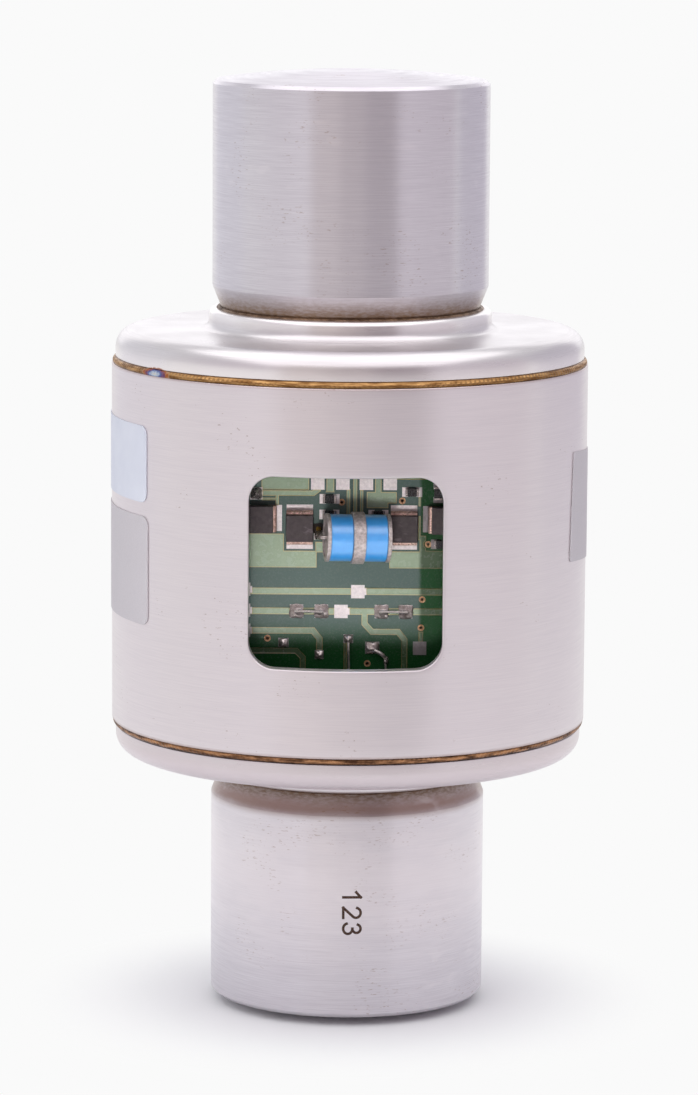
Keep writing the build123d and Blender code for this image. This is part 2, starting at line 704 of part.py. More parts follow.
def board_screws():
    pieces = []
    for x, rise in spacer_places():
        at = Pos(x, rise)
        screw = front_prism(at * Circle(SCREW_HEAD_R), BOARD_FRONT, BOARD_FRONT + SCREW_HEAD_H)
        screw += front_prism(at * Circle(SCREW_R), BOARD_BACK - SCREW_GRIP, BOARD_FRONT)
        slot = at * Rectangle(2 * SCREW_HEAD_R, SCREW_SLOT_W)
        screw -= front_prism(slot, BOARD_FRONT + SCREW_HEAD_H / 2, BOARD_FRONT + SCREW_HEAD_H)
        pieces.append(screw)
    return Compound(pieces)


def strain_gauges():
    """A foil gauge on each of the column's four flats."""
    foil = front_prism(Rectangle(GAUGE_W, GAUGE_H), GAUGE_FLAT, GAUGE_FLAT + GAUGE_T)
    return Compound([Rot(0, 0, 90 * quarter) * foil for quarter in range(4)])


def gauge_tabs():
    near = GAUGE_FLAT + GAUGE_T
    tab = front_prism(Pos(0, -TAB_DROP) * Rectangle(TAB_W, TAB_H), near, near + TAB_T)
    return Compound([Rot(0, 0, 90 * quarter) * tab for quarter in range(4)])


def gauge_leads():
    """Twin leads from the gauges' tabs to the back of the board: straight from the front
    gauge, round a corner from the sides, and round the column from the back."""
    start = GAUGE_FLAT + GAUGE_T + TAB_T
    z = MID - TAB_DROP
    low = z - BACK_LEAD_DROP
    side = SIDE_LEAD_OUT
    back = BACK_LEAD_OUT
    paths = [
        Line((0, -start, z), (0, -BOARD_BACK, z)),
        FilletPolyline((start, 0, z), (side, 0, z), (side, -BOARD_BACK, z), radius=LEAD_BEND_R),
        FilletPolyline((-start, 0, z), (-side, 0, z), (-side, -BOARD_BACK, z), radius=LEAD_BEND_R),
        FilletPolyline((0, start, z), (0, side, z), (back, side, low), (back, -BOARD_BACK, low), radius=[BACK_BEND_R / 2, BACK_BEND_R]),
    ]
    leads = []
    for path in paths:
        profile = Plane(origin=path @ 0, z_dir=path % 0) * Circle(GAUGE_LEAD_R)
        leads.append(sweep(profile, path))
    return Compound(leads)


def gland_hexagon(near, far):
    prism = Plane(origin=(0, near, GLAND_Z), x_dir=(1, 0, 0), z_dir=(0, 1, 0))
    return extrude(prism * RegularPolygon(GLAND_AF / 2, 6, major_radius=False), far - near)


def gland_boss():
    inside = SHELL_R - BOSS_IN
    bore = BOSS_THREAD_R + FIT
    corners = [
        (bore, inside),
        (BOSS_R, inside),
        (BOSS_R, BOSS_FACE - BOSS_CHAMFER),
        (BOSS_R - BOSS_CHAMFER, BOSS_FACE),
        (bore, BOSS_FACE),
    ]
    return gland_turned(corners)


def boss_weld():
    """The fillet bead round the boss, which follows the round of the shell."""
    foot = SHELL_R - 2 * BOSS_WELD
    corners = [(BOSS_R, foot), (BOSS_R + 2 * BOSS_WELD, foot), (BOSS_R, SHELL_R + BOSS_WELD)]
    ring = gland_turned(corners)
    ring -= Pos(0, 0, MID) * Cylinder(SHELL_R, 2 * SHELL_HALF)
    return ring.solids().sort_by(SortBy.VOLUME)[-1]


def gland_washer():
    inner = BOSS_THREAD_R + 2 * FIT
    return gland_turned([(inner, BOSS_FACE), (WASHER_R, BOSS_FACE), (WASHER_R, WASHER_FACE), (inner, WASHER_FACE)])


def gland_body():
    """Thread into the boss, hexagon, and the outer thread round the seal's pocket."""
    hexagon = gland_hexagon(WASHER_FACE, HEX_FACE)
    inside = SHELL_R - BOSS_IN / 2
    stem = gland_turned([(0, inside), (BOSS_THREAD_R, inside), (BOSS_THREAD_R, WASHER_FACE), (0, WASHER_FACE)])
    thread = gland_turned([(0, HEX_FACE), (GLAND_THREAD_R, HEX_FACE), (GLAND_THREAD_R, THREAD_FACE), (0, THREAD_FACE)])
    pocket = SEAL_R + FIT
    bore = gland_turned(
        [
            (0, inside),
            (GLAND_BORE_R, inside),
            (GLAND_BORE_R, SEAL_FOOT),
            (pocket, SEAL_FOOT),
            (pocket, THREAD_FACE),
            (0, THREAD_FACE),
        ]
    )
    return hexagon + stem + thread - bore


def gland_seal():
    end = SEAL_FOOT + SEAL_L
    return gland_turned([(SEAL_BORE_R, SEAL_FOOT), (SEAL_R, SEAL_FOOT), (SEAL_R, end), (SEAL_BORE_R, end)])


def gland_nut():
    """Domed cap nut: a hexagonal skirt over the thread and a rounded nose over the seal."""
    skirt_end = NUT_FOOT + NUT_HEX_L
    nose_end = NUT_SEAT + NUT_NOSE_L / 2
    shoulder = GLAND_AF / 2 - 0.4
    corners = [(0, skirt_end), (shoulder, skirt_end), (shoulder, NUT_SEAT), (NUT_NOSE_R, nose_end), (0, nose_end)]
    nose = FilletPolyline(*corners, radius=[0, 0, NUT_DOME_R, NUT_LIP_R, 0], close=True)
    body = gland_hexagon(NUT_FOOT, skirt_end) + revolve(GLAND_SECTION * make_face(nose), GLAND_AXIS)
    inner = GLAND_THREAD_R + FIT
    hollow = gland_turned(
        [
            (0, NUT_FOOT),
            (inner, NUT_FOOT),
            (inner, NUT_SEAT),
            (NUT_MOUTH_R, NUT_SEAT),
            (NUT_MOUTH_R, nose_end),
            (0, nose_end),
        ]
    )
    return body - hollow


def label(place, azimuth):
    """A thin sticker that follows the round of the shell from the azimuth of its near end,
    away from the window, its corners rounded."""
    rise, arc, height = place
    angle = degrees(arc / SHELL_R)
    section = Pos(SHELL_R + LABEL_GLUE + LABEL_T / 2, rise) * Rectangle(LABEL_T, height)
    band = revolve(SECTION * section, Axis.Z, angle)
    edges = [edge for edge in band.edges().filter_by(GeomType.LINE) if edge.length < 2 * LABEL_T]
    start = azimuth if azimuth > 0 else azimuth - angle
    return Rot(0, 0, start - 90) * fillet(edges, LABEL_CORNER)


PARTS = {
    "load_column": load_column,
    "upper_cover": upper_cover,
    "lower_cover": lambda: lower(upper_cover()),
    "shell": shell,
    "upper_rim_weld": upper_rim_weld,
    "lower_rim_weld": lambda: lower(upper_rim_weld()),
    "upper_collar_weld": upper_collar_weld,
    "lower_collar_weld": lambda: lower(upper_collar_weld()),
    "circuit_board": circuit_board,
    "board_tracks": board_tracks,
    "board_pads": board_pads,
    "via_eyelets": via_eyelets,
    "diode_bodies": diode_bodies,
    "diode_terminals": diode_terminals,
    "chip_bodies": chip_bodies,
    "chip_ends": chip_ends,
    "arrester_sleeves": arrester_sleeves,
    "arrester_electrodes": arrester_electrodes,
    "arrester_leads": arrester_leads,
    "link_wires": link_wires,
    "signal_wires": signal_wires,
    "solder_joints": solder_joints,
    "board_spacers": board_spacers,
    "board_screws": board_screws,
    "strain_gauges": strain_gauges,
    "gauge_tabs": gauge_tabs,
    "gauge_leads": gauge_leads,
    "gland_boss": gland_boss,
    "boss_weld": boss_weld,
    "gland_washer": gland_washer,
    "gland_body": gland_body,
    "gland_seal": gland_seal,
    "gland_nut": gland_nut,
    "upper_label": lambda: label(UPPER_LABEL, UPPER_LABEL_AZIMUTH),
    "lower_label": lambda: label(LOWER_LABEL, LOWER_LABEL_AZIMUTH),
    "side_label": lambda: label(SIDE_LABEL, SIDE_LABEL_AZIMUTH),
}

os.makedirs("parts", exist_ok=True)
for name, make in PARTS.items():
    export_step(make(), f"parts/{name}.step")
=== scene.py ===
"""Looks of a column load cell whose welded can has a window onto its circuit board.

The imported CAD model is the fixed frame. Turned and formed pieces are worked out here
again as finer surfaces, and the other nodes get softened edges and finishes. Sizes are
in millimetres and meshes in metres, in the frame's own axes: Z up the load axis, the
window towards -Y.
"""

import logging
import math
from dataclasses import dataclass
from enum import Enum

import bmesh
import bpy
import numpy as np
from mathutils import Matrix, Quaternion, Vector


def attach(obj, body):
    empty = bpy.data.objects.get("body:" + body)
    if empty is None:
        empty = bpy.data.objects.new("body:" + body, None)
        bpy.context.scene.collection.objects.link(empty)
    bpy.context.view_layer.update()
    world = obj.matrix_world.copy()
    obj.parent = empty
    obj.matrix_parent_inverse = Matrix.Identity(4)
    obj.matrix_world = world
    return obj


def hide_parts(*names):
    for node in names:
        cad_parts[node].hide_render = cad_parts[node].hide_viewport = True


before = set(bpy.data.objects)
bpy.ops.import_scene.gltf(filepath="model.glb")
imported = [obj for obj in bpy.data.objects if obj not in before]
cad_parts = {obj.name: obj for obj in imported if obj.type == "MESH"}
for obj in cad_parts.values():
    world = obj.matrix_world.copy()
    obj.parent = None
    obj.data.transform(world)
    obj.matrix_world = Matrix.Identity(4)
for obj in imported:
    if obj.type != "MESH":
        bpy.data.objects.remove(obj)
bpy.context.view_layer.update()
BODY = "root"
FULL_TURN = 2 * math.pi
MM = 0.001
# Height of the cell's middle
MID = 75.0
# A CAD node's points are joined within this many metres, and its triangles within this many degrees
JOIN_WITHIN = 1e-7
FLAT_WITHIN = 0.5
# Edges of a CAD node that turn by more than this many degrees get rounded
ROUND_FROM = 35.0
# The most that a smooth surface turns in degrees at one edge: plain pieces, weld beads, solder and wire
SMOOTH, BEAD_SMOOTH, BLOB_SMOOTH = 30.0, 50.0, 60.0
LOG = logging.getLogger("load_cell")

Points = np.ndarray
Faces = np.ndarray
Pair = tuple[float, float]
Triple = tuple[float, float, float]
Tree = bpy.types.NodeTree
Socket = bpy.types.NodeSocket
Piece = bpy.types.Object


def linear(colour: str, alpha: float = 1.0) -> tuple[float, float, float, float]:
    """Turn an sRGB hex colour into Blender's linear colour.

    Args:
        colour: The colour as "#rrggbb".
        alpha: The fourth value.

    Returns:
        Red, green, blue and alpha.
    """
    raw = np.array([int(colour[i : i + 2], 16) for i in (1, 3, 5)]) / 255
    values = np.where(raw <= 0.04045, raw / 12.92, ((raw + 0.055) / 1.055) ** 2.4)
    return (*(float(v) for v in values), alpha)


def add(
    tree: Tree, kind: str, settings: dict, links: dict | None = None, out: int | str = 0
) -> Socket | None:
    """Add a shader node with its settings and links.

    Args:
        tree: The node tree that gets the node.
        kind: The node's type without its "ShaderNode" prefix.
        settings: Input names or numbers, or node properties, with their values.
        links: Input names or numbers with the output sockets that feed them.
        out: Name or number of the output to give back.

    Returns:
        That output, or None where the node has none.
    """
    node = tree.nodes.new("ShaderNode" + kind)
    for name, value in settings.items():
        if isinstance(name, int) or name in node.inputs:
            node.inputs[name].default_value = value
        else:
            setattr(node, name, value)
    for name, source in (links or {}).items():
        tree.links.new(source, node.inputs[name])
    return node.outputs[out] if len(node.outputs) else None


def grid_faces(rows: int, cols: int, wrap_rows: bool = False, wrap_cols: bool = False) -> Faces:
    """List the four corners of each cell in a grid of points stored row by row.

    Args:
        rows: Number of rows.
        cols: Number of points in a row.
        wrap_rows: Whether the last row joins the first.
        wrap_cols: Whether each row closes on itself.

    Returns:
        One row of four point numbers for each cell.
    """
    r = np.arange(rows if wrap_rows else rows - 1)[:, None]
    c = np.arange(cols if wrap_cols else cols - 1)[None, :]
    r2, c2 = (r + 1) % rows, (c + 1) % cols
    return np.stack([r * cols + c, r * cols + c2, r2 * cols + c2, r2 * cols + c], -1).reshape(-1, 4)


def rounded(corners: list[Pair], radii: tuple[float, ...], steps: int = 6) -> Points:
    """Round the inner corners of an open profile with arcs.

    Each arc starts and ends at radius times the tangent of half the turn from its corner,
    and its points divide the turn evenly.

    Args:
        corners: The profile's corner points.
        radii: A radius for each corner but the first and the last, 0 for a sharp one.
        steps: Number of runs in an arc.

    Returns:
        The profile's points, one row each.
    """
    pts = np.array(corners, float)
    out = [pts[0]]
    for before, at, after, radius in zip(pts, pts[1:], pts[2:], radii):
        if radius <= 0:
            out.append(at)
            continue
        a, b = before - at, after - at
        a, b = a / np.linalg.norm(a), b / np.linalg.norm(b)
        half = math.acos(np.clip(a @ b, -1, 1)) / 2
        centre = at + (a + b) / np.linalg.norm(a + b) * radius / math.sin(half)
        first = at + a * radius / math.tan(half) - centre
        last = at + b * radius / math.tan(half) - centre
        turn = math.pi - 2 * half
        t = np.linspace(0, 1, steps + 1)[:, None]
        arc = (np.sin((1 - t) * turn) * first + np.sin(t * turn) * last) / math.sin(turn)
        out.extend(centre + arc)
    out.append(pts[-1])
    return np.array(out)


def around(radius: Points, height: Points, angle: Points) -> Points:
    """Place points by radius, height and azimuth, which is 0 at the window and grows to +X."""
    radius, height, angle = np.broadcast_arrays(radius, height, angle)
    return np.stack([radius * np.sin(angle), -radius * np.cos(angle), height], -1)


def azimuths(count: int) -> Points:
    """Give evenly spaced azimuths round a full turn."""
    return np.linspace(0, FULL_TURN, count, endpoint=False)


def build(
    name: str,
    points: Points,
    faces: list[Faces],
    finish: "Finish",
    crease: float = SMOOTH,
    merge: float = 1e-4,
) -> Piece:
    """Make a closed, outward facing piece that rides on the cell.

    Args:
        name: The piece's name.
        points: Its points in millimetres.
        faces: Arrays of point numbers.
        finish: Its finish.
        crease: Edges that turn by more than this many degrees stay sharp.
        merge: Points closer than this many millimetres become one.

    Returns:
        The piece.
    """
    mesh = bpy.data.meshes.new(name)
    mesh.from_pydata((points.reshape(-1, 3) * MM).tolist(), [], np.concatenate(faces).tolist())
    bm = bmesh.new()
    bm.from_mesh(mesh)
    bmesh.ops.remove_doubles(bm, verts=bm.verts, dist=merge * MM)
    bmesh.ops.recalc_face_normals(bm, faces=bm.faces)
    bm.to_mesh(mesh)
    bm.free()
    return dress(name, mesh, finish, crease)


def dress(name: str, mesh: bpy.types.Mesh, finish: "Finish", crease: float = SMOOTH) -> Piece:
    """Shade a finished mesh and put it into the scene as a piece of the cell.

    Args:
        name: The piece's name.
        mesh: Its mesh, in metres and in place.
        finish: Its finish.
        crease: Edges that turn by more than this many degrees stay sharp.

    Returns:
        The piece.
    """
    mesh.materials.clear()
    mesh.materials.append(finish.material())
    mesh.polygons.foreach_set("use_smooth", np.ones(len(mesh.polygons), bool))
    mesh.set_sharp_from_angle(angle=math.radians(crease))
    piece = bpy.data.objects.new(name, mesh)
    bpy.context.scene.collection.objects.link(piece)
    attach(piece, BODY)
    LOG.info("%s: %d points", name, len(mesh.vertices))
    return piece


def turned(name: str, profile: Points, finish: "Finish", count: int = 256) -> Piece:
    """Turn a closed or axis-to-axis profile about the load axis.

    Args:
        name: The piece's name.
        profile: Radius and height of each point.
        finish: Its finish.
        count: Points round the turn.

    Returns:
        The piece.
    """
    closed = profile[0, 0] > 0 or profile[-1, 0] > 0
    points = around(profile[:, :1], profile[:, 1:], azimuths(count)[None, :])
    return build(name, points, [grid_faces(len(profile), count, closed, True)], finish)


def joined(node: str) -> tuple[bpy.types.Mesh, bmesh.types.BMesh]:
    """Copy a CAD node's mesh and join its loose triangles into flat faces.

    Args:
        node: The CAD node.

    Returns:
        The copy, and an editable form of it.
    """
    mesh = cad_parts[node].data.copy()
    bm = bmesh.new()
    bm.from_mesh(mesh)
    bmesh.ops.remove_doubles(bm, verts=bm.verts, dist=JOIN_WITHIN)
    bmesh.ops.dissolve_limit(bm, angle_limit=math.radians(FLAT_WITHIN), verts=bm.verts, edges=bm.edges)
    return mesh, bm


def write_back(bm: bmesh.types.BMesh, mesh: bpy.types.Mesh) -> None:
    """Put an edited form back into its mesh, without the CAD's own normals.

    Args:
        bm: The edited form.
        mesh: The mesh.
    """
    bm.to_mesh(mesh)
    bm.free()
    if "custom_normal" in mesh.attributes:
        mesh.attributes.remove(mesh.attributes["custom_normal"])


def softened(node: str, name: str, width: float, finish: "Finish") -> None:
    """Stand a copy of a CAD node in for it, with its sharp edges rounded off.

    Args:
        node: The CAD node.
        name: The new piece's name.
        width: How much of each side of an edge the rounding takes, in millimetres.
        finish: The piece's finish.
    """
    mesh, bm = joined(node)
    for edge in bm.edges:
        edge.smooth = True
    write_back(bm, mesh)
    piece = dress(name, mesh, finish)
    bevel = piece.modifiers.new("edge", "BEVEL")
    bevel.width = width * MM
    bevel.segments = 2
    bevel.limit_method = "ANGLE"
    bevel.angle_limit = math.radians(ROUND_FROM)
    bevel.harden_normals = True
    bevel.use_clamp_overlap = True
    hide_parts(node)


def repaint(node: str, finish: "Finish") -> None:
    """Give a CAD node its finish on all its faces.

    Args:
        node: The node.
        finish: Its finish.
    """
    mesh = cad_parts[node].data
    mesh.materials.clear()
    mesh.materials.append(finish.material())
    LOG.info("%s: dressed", node)


def gather(parts: list[Points], unclosed: tuple[int, ...] = ()) -> tuple[Points, list[Faces]]:
    """Put several ringed surfaces into one list of points and faces.

    Args:
        parts: The surfaces' points, ring by ring.
        unclosed: Numbers of the surfaces whose rings don't close.

    Returns:
        All points, and an array of faces for each surface.
    """
    faces, start = [], 0
    for number, rings in enumerate(parts):
        rows, cols = rings.shape[:2]
        faces.append(grid_faces(rows, cols, False, number not in unclosed) + start)
        start += rows * cols
    return np.concatenate([rings.reshape(-1, 3) for rings in parts]), faces


# Nearly all of a noise's values lie in this span
NOISE_SPAN = (0.3, 0.7)
TIMES = {"operation": "MULTIPLY"}
LARGER = {"operation": "MAXIMUM"}


def ramp(start: Pair, end: Pair = (0.0, 1.0)) -> dict:
    """Give the settings that map one range smoothly onto another and hold it there."""
    return {"interpolation_type": "SMOOTHSTEP", 1: start[0], 2: start[1], 3: end[0], 4: end[1]}


def blank(owner: bpy.types.Material | bpy.types.World) -> Tree:
    """Give a material or a world an empty node tree.

    Args:
        owner: The material or world.

    Returns:
        The tree.
    """
    owner.use_nodes = True
    owner.node_tree.nodes.clear()
    return owner.node_tree


@dataclass
class Paint:
    """A surface that is being painted.

    Attributes:
        tree: Its node tree.
        place: Where each point of it is.
        share: How far its pattern goes towards a second colour.
        colour: Its colour so far.
    """

    tree: Tree
    place: Socket
    share: Socket | None = None
    colour: Socket | None = None

    def noise(self, size: Triple, detail: float) -> Socket:
        """Make noise whose features are as large as size says.

        Args:
            size: Feature size in millimetres along each axis.
            detail: Number of finer layers.

        Returns:
            The noise, from 0 to 1 and mostly within NOISE_SPAN.
        """
        spread = add(self.tree, "Mapping", {"Scale": [1 / (s * MM) for s in size]}, {"Vector": self.place})
        settings = {"Scale": 1.0, "Detail": detail, "Roughness": 0.6}
        return add(self.tree, "TexNoise", settings, {"Vector": spread})

    def mottled(self, colour: str, shade: str) -> Socket:
        """Mix two colours by the pattern's share."""
        settings = {"data_type": "RGBA", 6: linear(colour), 7: linear(shade)}
        return add(self.tree, "Mix", settings, {0: self.share}, 2)

    def lay(self, cover: str | Socket, share: Socket) -> None:
        """Lay a colour over the one so far.

        Args:
            cover: The colour, as hex or from a node.
            share: How much of it shows.
        """
        settings, links = {"data_type": "RGBA"}, {0: share, 6: self.colour}
        if isinstance(cover, str):
            settings[7] = linear(cover)
        else:
            links[7] = cover
        self.colour = add(self.tree, "Mix", settings, links, 2)


class Layer:
    """Something that lies over a finish's own colours."""

    def over(self, paint: Paint) -> None:
        """Lay it over the paint so far."""
        raise NotImplementedError


@dataclass(frozen=True)
class StainAndPaintedLight(Layer):
    """A band round one height, fading out evenly above and below it: stains, and painted light and shade.

    Attributes:
        colour: The band's colour.
        strong: Height where it is strongest, in millimetres.
        gone: Height where it has faded out, on one side.
        amount: How much of the colour shows at most.
        patchy: Size of its patches in millimetres.
    """

    colour: str
    strong: float
    gone: float
    amount: float
    patchy: float = 3.0

    def over(self, paint: Paint) -> None:
        """Lay the band, weaker with the distance from its height and uneven in patches.

        Args:
            paint: The paint so far.
        """
        tree = paint.tree
        height = add(tree, "SeparateXYZ", {}, {0: paint.place}, 2)
        above = add(tree, "Math", {"operation": "SUBTRACT", 1: self.strong * MM}, {0: height})
        far = add(tree, "Math", {"operation": "ABSOLUTE"}, {0: above})
        fade = add(tree, "MapRange", {1: abs(self.gone - self.strong) * MM, 2: 0.0}, {0: far})
        patches = paint.noise((self.patchy, self.patchy, self.patchy / 3), 4.0)
        uneven = add(tree, "MapRange", ramp((0.35, 0.65), (0.86, 1.1)), {0: patches})
        strength = add(tree, "Math", TIMES, {0: fade, 1: uneven})
        paint.lay(self.colour, add(tree, "MapRange", ramp((0.0, 1.0), (0.0, self.amount)), {0: strength}))


@dataclass(frozen=True)
class Specks(Layer):
    """Small stains that come in patches.

    Attributes:
        colour: Their colour.
        size: Their size in millimetres along X, Y and Z.
        limits: Noise at which a speck begins and at which it is full.
        patch: Size of the patches in millimetres.
        patch_limits: Noise at which a patch begins and at which it is full.
        amount: How much of the colour shows at most.
    """

    colour: str
    size: Triple = (0.8, 0.8, 0.3)
    limits: Pair = (0.66, 0.72)
    patch: float = 9.0
    patch_limits: Pair = (0.52, 0.6)
    amount: float = 0.5

    def over(self, paint: Paint) -> None:
        """Lay the specks where their own noise and the patches' noise are both high.

        Args:
            paint: The paint so far.
        """
        fine, broad = paint.noise(self.size, 2.0), paint.noise((self.patch,) * 3, 1.0)
        specks = add(paint.tree, "MapRange", ramp(self.limits, (0.0, self.amount)), {0: fine})
        patches = add(paint.tree, "MapRange", ramp(self.patch_limits), {0: broad})
        paint.lay(self.colour, add(paint.tree, "Math", TIMES, {0: specks, 1: patches}))


@dataclass(frozen=True)
class PaintedLitHaze(Layer):
    """Painted light: a haze that stops at a painted shadow edge and fades into painted shade at the foot.

    Attributes:
        colour: The main lit colour it paints.
        shade: The colour that the pattern goes towards in it.
        right: Where its painted shadow edge is along X, in millimetres.
        soft: How far to each side that edge fades.
        low: Heights where it rises out of the painted shade at the board's foot and where it is full.
    """

    colour: str
    shade: str
    right: float = 11.1
    soft: float = 0.4
    low: Pair = (61.0, 67.0)

    def over(self, paint: Paint) -> None:
        """Lay the painted haze of light.

        Args:
            paint: The paint so far.
        """
        # Painted light, left of the painted shadow edge and above the painted shade at the foot
        lit_haze = paint.mottled(self.colour, self.shade)
        axes = add(paint.tree, "SeparateXYZ", {}, {0: paint.place}).node.outputs
        limits = ((self.right + self.soft) * MM, (self.right - self.soft) * MM)
        edge = add(paint.tree, "MapRange", ramp(limits), {0: axes[0]})
        rise = add(paint.tree, "MapRange", ramp((self.low[0] * MM, self.low[1] * MM)), {0: axes[2]})
        paint.lay(lit_haze, add(paint.tree, "Math", TIMES, {0: edge, 1: rise}))


@dataclass(frozen=True)
class HeatSpot(Layer):
    """A spot where welding paused: rings of oxide colour round one point.

    Attributes:
        centre: Its middle in millimetres.
        reach: Its size along X, Y and Z in millimetres.
        rings: Distance, as a share of its size, with the colour there.
        ripple: Size in millimetres of the waves in the rings.
    """

    centre: Triple
    reach: Triple
    rings: tuple[tuple[float, str], ...]
    ripple: float = 0.8

    def over(self, paint: Paint) -> None:
        """Lay the rings: each point's colour is its distance's, moved by half of a noise about 0.5.

        Args:
            paint: The paint so far.
        """
        tree = paint.tree
        settings = {
            "Location": [-c / r for c, r in zip(self.centre, self.reach)],
            "Scale": [1 / (r * MM) for r in self.reach],
        }
        offset = add(tree, "Mapping", settings, {"Vector": paint.place})
        far = add(tree, "VectorMath", {"operation": "LENGTH"}, {0: offset}, "Value")
        waves = paint.noise((self.ripple,) * 3, 2.0)
        moved = add(tree, "Math", {"operation": "MULTIPLY_ADD", 1: 0.5}, {0: waves, 2: far})
        moved = add(tree, "Math", {"operation": "SUBTRACT", 1: 0.25}, {0: moved})
        colour = add(tree, "ValToRGB", {}, {0: moved})
        elements = colour.node.color_ramp.elements
        while len(elements) < len(self.rings):
            elements.new(0.5)
        for element, (where, ring) in zip(elements, self.rings):
            element.position = where
            element.color = linear(ring)
        paint.lay(colour, add(tree, "MapRange", ramp((1.0, 0.8), (0.0, 0.9)), {0: moved}))


class Pattern(Enum):
    """How a finish varies over its surface."""

    TURNED = "fine lines round the load axis"
    GRAIN = "even grain"
    CLOUDS = "soft clouds"


@dataclass(frozen=True)
class Finish:
    """A surface finish as one procedural material.

    Attributes:
        name: The material's name, which is no slot's name.
        colour: Its main colour.
        shade: The colour its pattern goes towards.
        metallic: 1 for bare metal.
        roughness: Lowest and highest roughness.
        pattern: How it varies.
        size: The pattern's size in millimetres along X, Y and Z.
        relief: Height of its bumps in millimetres.
        anisotropy: How far turning lines spread the gloss up and down.
        coat: Weight of a clear layer.
        coat_roughness: Roughness of that layer.
        layers: What lies over its own colours, from the lowest up.
        ior: Index of refraction.
        coat_ior: Index of refraction of the clear layer.
    """

    name: str
    colour: str
    shade: str
    metallic: float
    roughness: Pair
    pattern: Pattern
    size: Triple
    relief: float
    anisotropy: float = 0.0
    coat: float = 0.0
    coat_roughness: float = 0.05
    layers: tuple[Layer, ...] = ()
    ior: float = 1.5
    coat_ior: float = 1.5

    def texture(self, paint: Paint) -> Socket:
        """Make the pattern: turned metal has broad faint bands under its fine lines.

        Args:
            paint: The bare surface.

        Returns:
            The pattern's value.
        """
        if self.pattern is Pattern.CLOUDS:
            return paint.noise(self.size, 2.0)
        fine = paint.noise(self.size, 4.0)
        if self.pattern is Pattern.GRAIN:
            return fine
        broad = paint.noise(tuple(5 * s for s in self.size), 2.0)
        return add(paint.tree, "Mix", {0: 0.2}, {2: fine, 3: broad})

    def material(self) -> bpy.types.Material:
        """Make the material, or give the one already made.

        Returns:
            The material.
        """
        made = bpy.data.materials.get(self.name)
        if made:
            return made
        made = bpy.data.materials.new(self.name)
        tree = blank(made)
        paint = Paint(tree, add(tree, "TexCoord", {}, out="Object"))
        texture = self.texture(paint)
        paint.share = add(tree, "MapRange", ramp(NOISE_SPAN), {0: texture})
        paint.colour = paint.mottled(self.colour, self.shade)
        for layer in self.layers:
            layer.over(paint)
        values = {
            "Metallic": self.metallic,
            "Coat Weight": self.coat,
            "Coat Roughness": self.coat_roughness,
            "Coat IOR": self.coat_ior,
            "Anisotropic": self.anisotropy,
            "Anisotropic Rotation": 0.25,
        }
        if not self.metallic:
            values["IOR"] = self.ior
        roughness = add(tree, "MapRange", ramp(NOISE_SPAN, self.roughness), {0: texture})
        links = {"Base Color": paint.colour, "Roughness": roughness}
        if self.anisotropy:
            links["Tangent"] = add(tree, "Tangent", {"direction_type": "RADIAL", "axis": "Z"})
        if self.relief:
            settings = {"Strength": 1.0, "Distance": self.relief * MM}
            links["Normal"] = add(tree, "Bump", settings, {"Height": texture})
        add(tree, "OutputMaterial", {}, {0: add(tree, "BsdfPrincipled", values, links)})
        return made


# Where the upper weld was closed: rings of oxide colour
HEAT_SPOT = HeatSpot(
    (-30.1, -22.4, 104.05),
    (4.0, 4.0, 1.05),
    (
        (0.0, "#f0ecd8"),
        (0.25, "#b9cbe0"),
        (0.45, "#4f68a8"),
        (0.62, "#7c4a68"),
        (0.8, "#b06a38"),
        (1.0, "#d8c2a8"),
    ),
)
# Stainless bar, turned and then ground: soft grey with fine lines round the axis that spread
# each highlight up and down; welding has browned the cones beside the collars
# painted light lightens the lower stub, and painted shade darkens the lower cone under its collar
COLUMN_STEEL = Finish(
    "ground_stainless_column", "#dfdbe0", "#d0cbd1", 1.0, (0.3, 0.36),
    Pattern.TURNED, (6.0, 6.0, 0.1), 0.001, 0.8,
    layers=(
        # Painted reflection: the lower stub made lighter, as the bright floor near it would show
        StainAndPaintedLight("#efe7e9", 24.0, 4.0, 0.7, 8.0),
        StainAndPaintedLight("#8a7056", 112.0, 116.7, 1.0, 1.0),
        StainAndPaintedLight("#46352a", 111.9, 113.1, 0.9, 1.0),
        # Heat tint at the lower cone, darkened with painted shade under the collar's overhang
        StainAndPaintedLight("#735d4b", 38.0, 32.9, 1.0, 1.0),
        StainAndPaintedLight("#9a8078", 35.0, 32.8, 0.9, 12.0),
        StainAndPaintedLight("#54412f", 38.1, 37.2, 0.7, 1.0),
        Specks("#8a6248", (1.0, 1.0, 0.22), (0.62, 0.7), 8.0, (0.52, 0.62), 0.4),
        Specks("#f2ecee", (6.0, 6.0, 2.5), (0.56, 0.7), 14.0, (0.5, 0.62), 0.2),
    ),
)
# Stainless sheet, brushed round the can: paler than the column and a little rougher
CAN_STEEL = Finish(
    "brushed_stainless_can", "#e8e0e2", "#e1d9dc", 1.0, (0.36, 0.4),
    Pattern.TURNED, (7.0, 7.0, 0.09), 0.0006, 0.7,
    layers=(
        StainAndPaintedLight("#9a6f5e", 103.8, 103.2, 0.45, 2.0),
        StainAndPaintedLight("#8f6a55", 46.3, 46.9, 0.5, 2.0),
        Specks("#8b6a55", patch_limits=(0.6, 0.66)),
    ),
)
